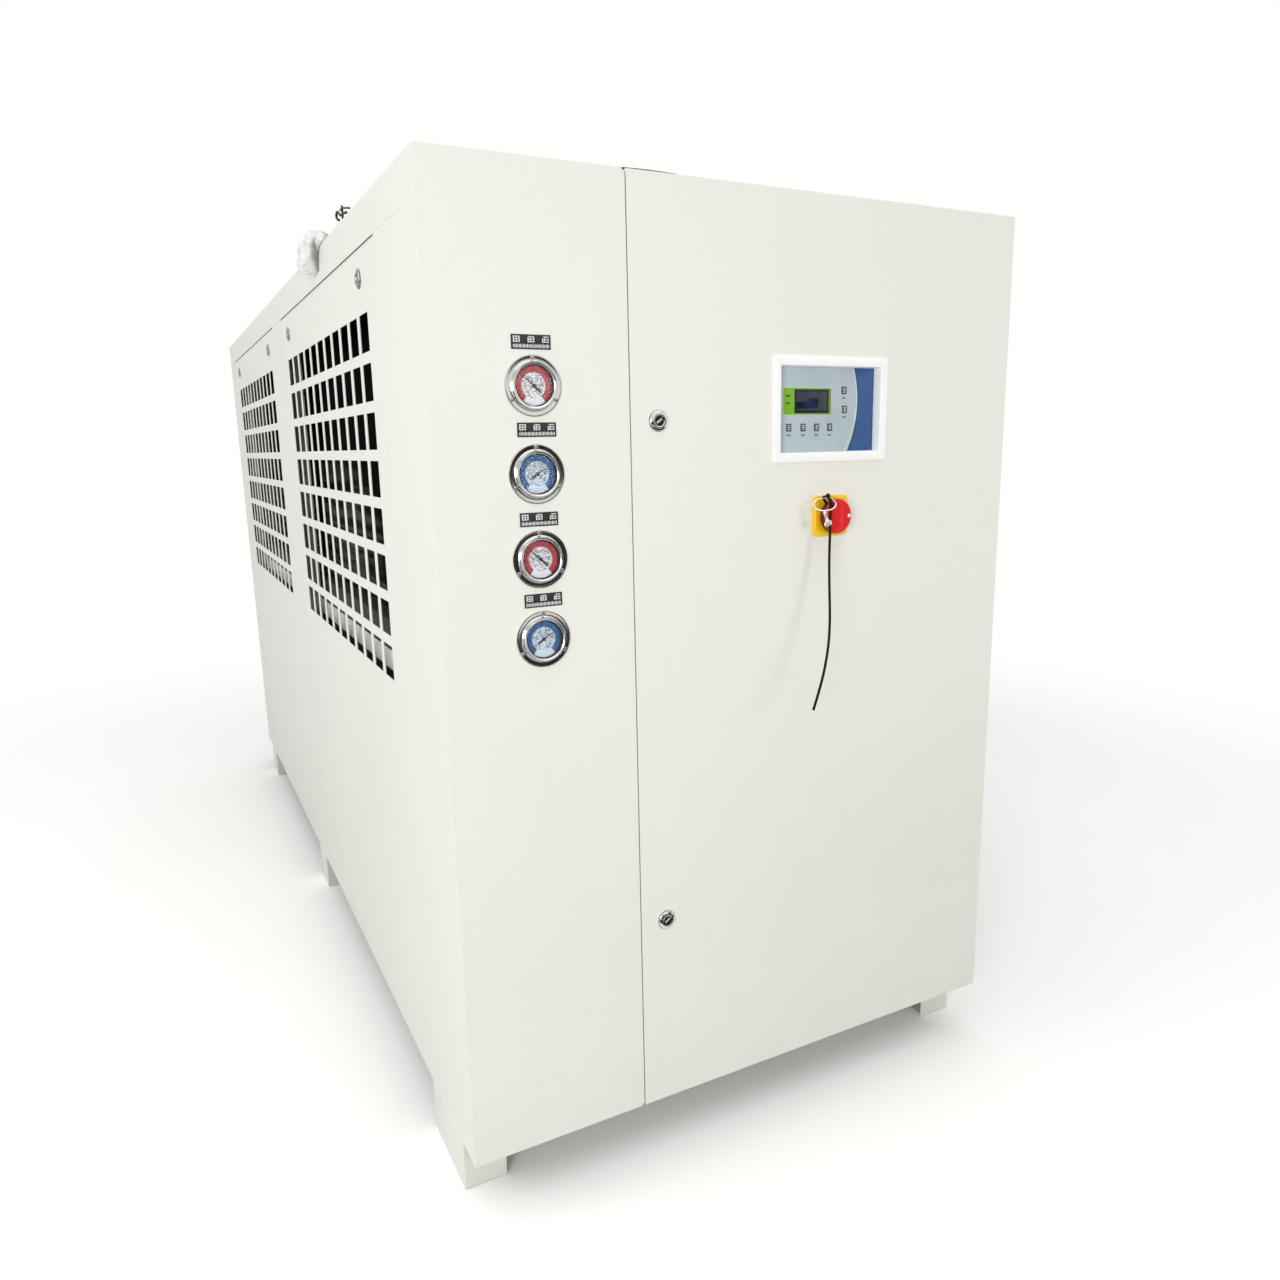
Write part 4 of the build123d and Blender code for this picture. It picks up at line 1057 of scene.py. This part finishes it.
# %% [markdown]
# ## Clip on the front guard
# At the left of the front guard two short bent wires stick out over the collar's rim, held by a
# small stud. They show as a little dark hook against the sky. Each is a tube on a smooth line that
# lies in one upright plane, so a list of (y, height) pairs says it all.

# %% Clip
CLIP_X = -0.4702
UPPER_WIRE = [(-496, 95), (-512, 95), (-560, 86), (-585, 80)]
LOWER_WIRE = [(-476, 80), (-452, 86), (-454, 99), (-474, 97), (-492, 84), (-520, 84), (-552, 79)]
STUD_PROFILE = mm([(4.5, 64), (4.5, 69), (2.2, 70), (2.2, 99), (1.6, 100), (0.4, 100)])


def clip_wire(pairs, radius):
    path = smooth_line([(CLIP_X, y * MM, TOP + h * MM) for y, h in pairs])
    return tube(path, radius, (1, 0, 0), 8)


stud = turned(STUD_PROFILE, (CLIP_X, -0.515, TOP), "top", 12)
put("guard_clip", join([clip_wire(UPPER_WIRE, 1.9 * MM), clip_wire(LOWER_WIRE, 2.6 * MM), stud]), BLACK_COAT)
print("clip at", CLIP_X)

# %% [markdown]
# ## Rotors
# Under each guard turns a dark rotor: a ribbed motor with five pitched blades. A blade is a lens
# section carried outwards, wide and steep at the root, narrower and flatter towards the tip. The
# ribs of the motor are three repeats of one short profile.

# %% Rotors and collar screws
BLADE_AT = mm([118, 263, 408, 425])
LEAD, TRAIL = mm([66, 84, 92, 66]), mm([-62, -92, -112, -84])
ROOT, TIP = 0.112, 0.425


def blade(angle, y):
    """Lens section round a chord: chord c cos t, thickness sin t, camber 1 - c^2, pitch falling with r."""
    r = np.linspace(ROOT, TIP, 14)[:, None]
    t = ANGLES[24][None]
    lead, trail = np.interp(r, BLADE_AT, LEAD), np.interp(r, BLADE_AT, TRAIL)
    along = (lead + trail) / 2 + np.cos(t) * (lead - trail) / 2
    camber = 0.012 * (1 - np.cos(t) ** 2) + np.sin(t) * 0.0028
    pitch = np.radians(np.interp(r, [ROOT, TIP], [31, 20]))
    chord = along * np.cos(pitch) - camber * np.sin(pitch)
    lift = along * np.sin(pitch) + camber * np.cos(pitch)
    a = math.radians(angle)
    x, across = r * math.cos(a) - chord * math.sin(a), r * math.sin(a) + chord * math.cos(a)
    return grid(np.stack((x, across + y, lift + TOP + 4 * MM), -1), close_cols=True, caps=True)


ribs = [(r, h + 20 * k) for k in range(3) for r, h in ((96, 84), (93, 86), (96, 88))]
MOTOR_PROFILE = mm([
    (60, -47), (118, -47), (126, -44), (128, -38), (128, 52), (126, 58), (120, 62), (98, 63), (96, 66),
    *ribs, (96, 147), (20, 147),
])
for place, y in FANS.items():
    parts = [blade(72 * k + 20, y) for k in range(5)] + [turned(MOTOR_PROFILE, (0, y, TOP), "top", 64)]
    fan_part("rotor", place, join(parts), ROTOR_GREY)
BOLT_CIRCLE = 0.465
bolt_places = [
    (BOLT_CIRCLE * math.cos(a), y + BOLT_CIRCLE * math.sin(a), TOP + 3 * MM)
    for y in FANS.values() for a in ANGLES[16] + 0.2
]
put("collar_screws", copies(screw(5 * MM, 3.4 * MM, "top"), bolt_places), STEEL)
print("fans", len(FANS), "collar screws", len(bolt_places))

# %% [markdown]
# ## Coils behind the slots
# Through the slots one sees a dark finned surface. Each fin is one sharp pleat of the coil's outer
# face; a zigzag of 4 mm pitch swept up the coil's height gives them all as one closed grid, and the
# finish adds the fine louvres in each fin.

# %% Finned coils
FIN_Y = np.arange(-1.042, 1.158 + 1e-6, 0.002)
COIL_OUTER, COIL_INNER, FIN_DEPTH = 0.4604, 0.396, 1.6 * MM
COIL_LOW, COIL_HIGH = 0.8854, 1.515


def coil_part(side):
    """Outer face: |x| swings by 1.6 mm with the fins; inner face flat; both joined above and below."""
    count = len(FIN_Y)
    outer = side * (COIL_OUTER + FIN_DEPTH * (np.arange(count) % 2))
    inner = side * np.full(count, COIL_INNER)
    edges = ((outer, COIL_LOW), (outer, COIL_HIGH), (inner, COIL_HIGH), (inner, COIL_LOW))
    points, faces = grid(np.stack([np.c_[x, FIN_Y, np.full(count, z)] for x, z in edges]), close_rows=True)
    faces += [[0, count, 2 * count, 3 * count], [count - 1, 4 * count - 1, 3 * count - 1, 2 * count - 1]]
    return points, faces


for side_name, side in SIDES.items():
    put(f"finned_coil_{side_name}", coil_part(side), COIL,
        stands_for=[f"coil_{side_name}"], smooth=False)
print("fins a coil", len(FIN_Y) // 2)

# %% [markdown]
# ## Rails, aprons and seam lips
# A coil stands in a channel on the edge of its deck, and the deck's edge is folded down as a pale apron,
# which fills the lowest row of slots. The channel and a strip behind the apron are near-black as painted
# shade. Above each louvred panel a narrow lip closes most of the gap to the roof's fascia. All of them are
# one section carried straight along the machine.

# %% Long sections
BAYS = ((-1.062, -0.015), (0.141, 1.183))
DECK = (-1.060, 1.305)
RAIL = mm([(462, 885.6), (495.6, 885.6), (495.6, 834.6), (498.4, 834.6), (498.4, 893), (497.6, 894),
           (464, 894), (462, 893)])
APRON = mm([(495.8, 834.4), (503.6, 802.6), (496.6, 802.6), (496.6, 801.2), (504.6, 801.2), (505.4, 802),
            (497.8, 834.4)])
SHADE_STRIP = mm([(494.2, 834), (494.2, 690), (495.4, 690), (495.4, 834)])
LIP = mm([(533, 1527.2), (538.2, 1527.2), (538.8, 1527.8), (538.8, 1529.8), (538.2, 1530.4), (533, 1530.4)])


def long_section(section, ends, side, steps=12):
    """A section of (x, z) carried along y between two ends; the left side takes minus x."""
    x, z = np.asarray(section, float).T
    y = np.linspace(*ends, steps)[:, None]
    points = np.stack((side * x + 0 * y, y + 0 * x, z + 0 * y), -1)
    return grid(points, close_cols=True, caps=True)


def both_sides(sections, spans):
    """Each section over each span, on the left and on the right."""
    return join([
        long_section(section, span, side) for section in sections for span in spans for side in SIDES.values()
    ])


# The channel and the strip behind the apron are near-black as painted shade.
put("coil_rails", both_sides([RAIL, SHADE_STRIP], [DECK]), RAIL_SHADE_BLACK)
put("deck_aprons", both_sides([APRON], [DECK]), WARM_WHITE)
put("panel_seam_lips", both_sides([LIP], BAYS), WARM_WHITE)
print("long sections", 2 * (3 + len(BAYS)))

# %% [markdown]
# ## The door's seam
# The gap between the gauge panel and the door is six millimetres wide. The panel's folded edge
# reaches into it as a pale lip, and a rubber seal fills the rest up to the door, so the seam shows
# as a pale line beside a thin dark one. Both are upright strips placed from the CAD nodes' boxes.

# %% Seam lip and seal
panel_edge, door_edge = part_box("gauge_panel")[1][0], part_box("control_door")[0][0]
SEAM_Z = np.linspace(BOTTOM + 4 * MM, TOP - 4 * MM, 9)
SEAL_WIDTH = 2.0 * MM


def upright_strip(x_from, x_to, y_from, y_to):
    """A thin upright box along the door's seam."""
    corners = np.array([(x_from, y_from), (x_to, y_from), (x_to, y_to), (x_from, y_to)])
    rows = [np.c_[corners, np.full(4, z)] for z in SEAM_Z]
    return grid(np.stack(rows), close_cols=True, caps=True)


lip_part = upright_strip(panel_edge - 0.2 * MM, door_edge - SEAL_WIDTH, FRONT + 0.3 * MM, FRONT + 6 * MM)
seal_part = upright_strip(door_edge - SEAL_WIDTH, door_edge - 0.3 * MM, FRONT + 2.5 * MM, FRONT + 6 * MM)
put("seam_lip", lip_part, WARM_WHITE)
put("seam_seal", seal_part, SEAL_BLACK)
print("door seam", round((door_edge - panel_edge) / MM, 2), "mm")

# %% [markdown]
# ## Water connections and screws
# The rear has two threaded pipe ends for the chilled water. The thread is a few ridges in the
# turned profile, which is all that shows of it at this distance. Pan-head screws go round the pipe
# flanges, along the rear panel's edges and into the two leaves of each hinge.

# %% Pipe ends and screws
PIPES = [(0.360, REAR, BOTTOM + 0.260), (0.360, REAR, BOTTOM + 0.460)]
thread = [(30 - 1.1 * (k % 2), 9 + 1.5 * k) for k in range(14)]
PIPE_PROFILE = mm([(50, 0), (50, 3.2), (49.2, 4), (35, 4), (33, 5), (31, 7), *thread, (29, 30), (25.4, 30),
                   (25, 29), (25, -55)])
put("threaded_pipe_ends", join([turned(PIPE_PROFILE, p, "rear", 48) for p in PIPES]), BRASS,
    stands_for=["water_connections"])
FLANGE_CIRCLE, FLANGE_TOP = 43 * MM, REAR + 3.8 * MM
rear_places = [
    (x + FLANGE_CIRCLE * math.cos(a), FLANGE_TOP, z + FLANGE_CIRCLE * math.sin(a))
    for x, _, z in PIPES for a in ANGLES[6]
]
REAR_COLUMNS, REAR_ROWS = (-0.522, 0.522), (0.117, 1.573)
rear_places += [(x, REAR, z) for x in REAR_COLUMNS for z in np.linspace(0.16, 1.53, 7)]
rear_places += [(x, REAR, z) for x in np.linspace(-0.35, 0.35, 4) for z in REAR_ROWS]
put("rear_screws", copies(screw(5 * MM, 3 * MM, "rear"), rear_places), STEEL)
HINGE_FACE, HINGE_AXIS, HINGES = 0.5432, FRONT + 0.071, (0.315, 1.315)
for leaf, body, way, rise in (("frame", "housing", 1, 0.020), ("door", "door", -1, 0.061)):
    leaf_screws = [
        (HINGE_FACE, HINGE_AXIS + way * (0.018 + 0.014 * k), z + rise) for k in range(2) for z in HINGES
    ]
    put(f"hinge_screws_{leaf}", copies(screw(3.5 * MM, 1.8 * MM, "right"), leaf_screws), STEEL, body)
print("rear screws", len(rear_places))

# %% [markdown]
# ## Protective film at the roof's edge
# New sheet steel comes with a clear film, and a torn piece of it is still bunched up over the left edge of
# the roof. It is one thin sheet that stands up in soft folds. The surface is a grid: one parameter goes round
# the bunch, the other along the edge, and waves of both are the folds. Its longest fold and its hem are
# darkened with painted shade, and an attribute on the points says where.

# %% The film's section
FILM_OVER = [(-17, 0), (-19, 11), (-15, 24), (-4, 34), (9, 38), (20, 35), (30, 24), (37, 10), (40, 2.5)]
FILM_HANG = [(-2.4, -44), (-6, -36), (-12, -24), (-16, -8)]
FILM_SWELL = ([0, 0.10, 0.3, 0.55, 0.88, 1], [0.08, 0.50, 0.88, 1.0, 0.95, 0.72])
FILM_DROP = ([0, 0.09, 0.16, 0.21, 0.475, 0.625, 0.825, 0.875, 0.93, 1],
             [0.02, 0.06, 0.5, 0.97, 1.02, 0.87, 0.68, 0.48, 0.34, 0.22])
FILM_START, FILM_SPAN = -0.655, 0.200
CLEAR_OF_SHEET, FURTHEST_OUT = 1.4 * MM, 19.6 * MM
U, V = np.meshgrid(np.linspace(0, 1, 84), np.linspace(0, 1, 84), indexing="ij")


def film_outline():
    """The section from hem to roof as x and z over u, smoothed by eight passes of 1-2-1 weights."""
    shape = mm(FILM_HANG + FILM_OVER)
    u, at = U[:, 0], np.linspace(0, 1, len(shape))
    x, z = np.interp(u, at, shape[:, 0]), np.interp(u, at, shape[:, 1])
    for _ in range(8):
        x[1:-1], z[1:-1] = (x[:-2] + 2 * x[1:-1] + x[2:]) / 4, (z[:-2] + 2 * z[1:-1] + z[2:]) / 4
    return x, z


print("film grid", U.shape)


# %% The film's folds
def hump(values, middle, half, power=2):
    """1 at the middle, falling to 1/e at half away."""
    return np.exp(-(((values - middle) / half) ** power))


def ramp(values):
    """The values, held between 0 and 1."""
    return np.clip(values, 0, 1)


FOLD_LINE = V - 0.05 * (0.35 - U)


def film_part():
    """Across (u) the sheet climbs from its hem, hanging outside, over the edge and down on the roof; along
    (v) the bunch swells from nothing and its hem hangs lowest in the middle. Waves of both push the
    sheet along its normal as folds; a long crease and a crumpled hem are pushed in on top."""
    x, z = film_outline()
    normal = unit(np.c_[-np.gradient(z), np.gradient(x)])
    swell, drop = np.interp(V, *FILM_SWELL), np.interp(V, *FILM_DROP)
    folds = 3.4 * np.sin(15 * V + 2.6 * np.sin(3.3 * U + 1))
    folds += 1.8 * np.sin(27 * V - 9 * U + 2 * np.sin(6 * V))
    folds += 0.9 * np.sin(41 * U + 13 * V + 3 * np.sin(9 * V))
    folds += 1.6 * np.sin(88 * U + 7 * V + 2 * np.sin(11 * V)) * ramp(1 - U / 0.30) * ramp((V - 0.35) / 0.3)
    folds -= 7.0 * hump(FOLD_LINE, 0.200, 0.060) * ramp((0.62 - U) / 0.3)
    push = folds * MM * ramp((1 - U) * 9) * ramp(U * 30 + 0.35) * swell
    x, z = x[:, None], z[:, None]
    px = x * swell + normal[:, :1] * push
    pz = z * np.where(z > 0, swell, drop) + normal[:, 1:] * push
    px = px - 0.013 * ramp((V - 0.5) / 0.35) * ramp((0.34 - U) / 0.2)
    px = np.where(pz < CLEAR_OF_SHEET, np.minimum(px, -CLEAR_OF_SHEET), px)
    px = np.maximum(px, -FURTHEST_OUT)
    shear = 0.036 * ramp(0.45 - U) * (1 - V) * (1 - U) - 0.008 * np.sin(5 * U) * V
    return grid(np.stack((LEFT + px, FILM_START + FILM_SPAN * V + shear, TOP + pz), -1))


film = put("protective_film_fold", film_part(), FILM, stands_for=["protective_film"])
print("film points", len(film.data.vertices))

# %% The film's painted shade
# Painted shade in the long crease and along the hem, kept as an attribute on the points.
crease_shade = hump(FOLD_LINE, 0.190, 0.085, 4) * ramp((0.56 - U) / 0.12)
hem_shade = 0.35 * hump(U, 0, 0.035) + 0.3 * hump(V, 1, 0.03)
film_shade = film.data.attributes.new("film_shade", "FLOAT", "POINT")
film_shade.data.foreach_set("value", ramp(crease_shade + hem_shade).ravel())

# %% [markdown]
# ## Floor and world
# A machine photographed on white needs a floor that is white and still takes a shadow: far from the
# machine the part of it that the camera sees glows, near the machine it is plain matt. Rays that
# light other things meet a darker floor and a dimmer world, so the sheets keep their shading.

# %% Floor and world
WHITE = (1, 1, 0.985)
FLOOR_HALF = 14


def seen_by_eye(f):
    """1 for camera, glossy and transmission rays, 0 for the rays that light other things."""
    names = ("Is Camera Ray", "Is Glossy Ray", "Is Transmission Ray")
    camera_ray, glossy_ray, through_ray = (f.node("ShaderNodeLightPath", {}, {}, name) for name in names)
    return camera_ray.math("MAXIMUM", glossy_ray).math("MAXIMUM", through_ray)


def floor_white():
    """Matt white near the machine, glowing white from two to three and a half metres away."""
    f = Finish("floor_white")
    seen = seen_by_eye(f)
    shown = f.blend(f.noise(3, 2), (0.945, 0.945, 0.938), (0.93, 0.93, 0.923))
    matt = f.node("ShaderNodeBsdfDiffuse", {}, {"Color": f.blend(seen, (0.42, 0.42, 0.41), shown)})
    glow = f.node("ShaderNodeEmission", {}, {"Color": WHITE, "Strength": 1.0})
    x, y, _ = f.xyz()
    away = (x * x + y * y).math("SQRT").smooth(1.9, 3.6)
    return f.ends_in(f.node("ShaderNodeMixShader", {}, {0: seen * away, 1: matt, 2: glow}))


def white_world():
    """White where it is seen, and a weak white fill for all other rays."""
    world = bpy.data.worlds.new("world")
    f = Finish("world", world)
    fill = f.node("ShaderNodeBackground", {}, {"Color": (1, 0.995, 0.98), "Strength": 0.37})
    white = f.node("ShaderNodeBackground", {}, {"Color": WHITE, "Strength": 1.0})
    return f.ends_in(f.node("ShaderNodeMixShader", {}, {0: seen_by_eye(f), 1: fill, 2: white}))


def sheet_of(corners):
    """One flat face."""
    return np.array(corners, float), [[0, 1, 2, 3]]


floor_corners = [(x * FLOOR_HALF, y * FLOOR_HALF, 0) for x, y in ((-1, -1), (1, -1), (1, 1), (-1, 1))]
floor = put("floor", sheet_of(floor_corners), floor_white())
bpy.context.scene.world = white_world()
print("floor", 2 * FLOOR_HALF, "m square")

# %% [markdown]
# ## Lamps and dark boards
# The light is that of a bright room: two soft lamps in front, two at the left, a very soft sun from
# above and a faint one from behind. Chrome shows only what it mirrors, and in a white room that is
# nothing, so three black boards stand where only reflections can see them.


# %% Lamps and boards
def lamp(name, kind, at, aim, size, power):
    """A soft lamp that shines from one place to another; a sun's size is the width of its disc in degrees."""
    light = bpy.data.lights.new(name, kind)
    light.energy = power
    if kind == "SUN":
        light.angle = math.radians(size)
    else:
        light.shape, light.size = "DISK", size
    holder = add_object(name, light)
    back = unit(np.asarray(at, float) - np.asarray(aim, float))
    level = (0.0, 1.0, 0.0) if abs(back[2]) > 0.99 else (0.0, 0.0, 1.0)
    across = unit(np.cross(level, back))
    stand(holder, at, across.tolist(), np.cross(back, across).tolist(), back.tolist())
    return holder


lamp("front_right", "AREA", (0.85, -3.4, 1.30), (0.1, -1.31, 1.12), 0.8, 14.6).visible_glossy = False
lamp("front_left", "AREA", (-2.3, -3.4, 1.35), (-0.5, -1.31, 1.0), 1.1, 43.5)
lamp("side", "AREA", (-3.4, -2.0, 0.9), (-0.54, -0.9, 0.8), 1.4, 4)
lamp("side_high", "AREA", (-3.6, -0.2, 2.6), (-0.54, -0.2, 1.0), 2.0, 27)
lamp("behind", "SUN", (-0.35, 0.45, 6), (0, 0, 5), 45, 0.20)
lamp("top", "SUN", (0, 0, 6), (0, 0, 5), 80, 1.5)


def dark_board(name, corners):
    """A black board that only reflections see, as beside a chrome piece in a studio."""
    f = Finish(name)
    black = f.blend(f.noise(0.8, 2), (0.010, 0.010, 0.010), (0.03, 0.03, 0.03))
    board = put(name, sheet_of(corners), f.done(Base_Color=black, Roughness=1.0))
    for ray in ("camera", "diffuse", "shadow", "transmission", "volume_scatter"):
        setattr(board, f"visible_{ray}", False)


dark_board("board_front", [(-3.0, -4.6, 0.0), (1.9, -4.6, 0.0), (1.9, -4.6, 1.30), (-3.0, -4.6, 1.30)])
dark_board("board_right", [(1.9, -4.6, 0.0), (4.2, -4.6, 0.0), (4.2, -4.6, 2.0), (1.9, -4.6, 2.0)])
dark_board("board_floor", [(-2.5, -3.4, 0.02), (2.6, -3.4, 0.02), (2.6, -1.8, 0.02), (-2.5, -1.8, 0.02)])
print("lamps", len(bpy.data.lights))
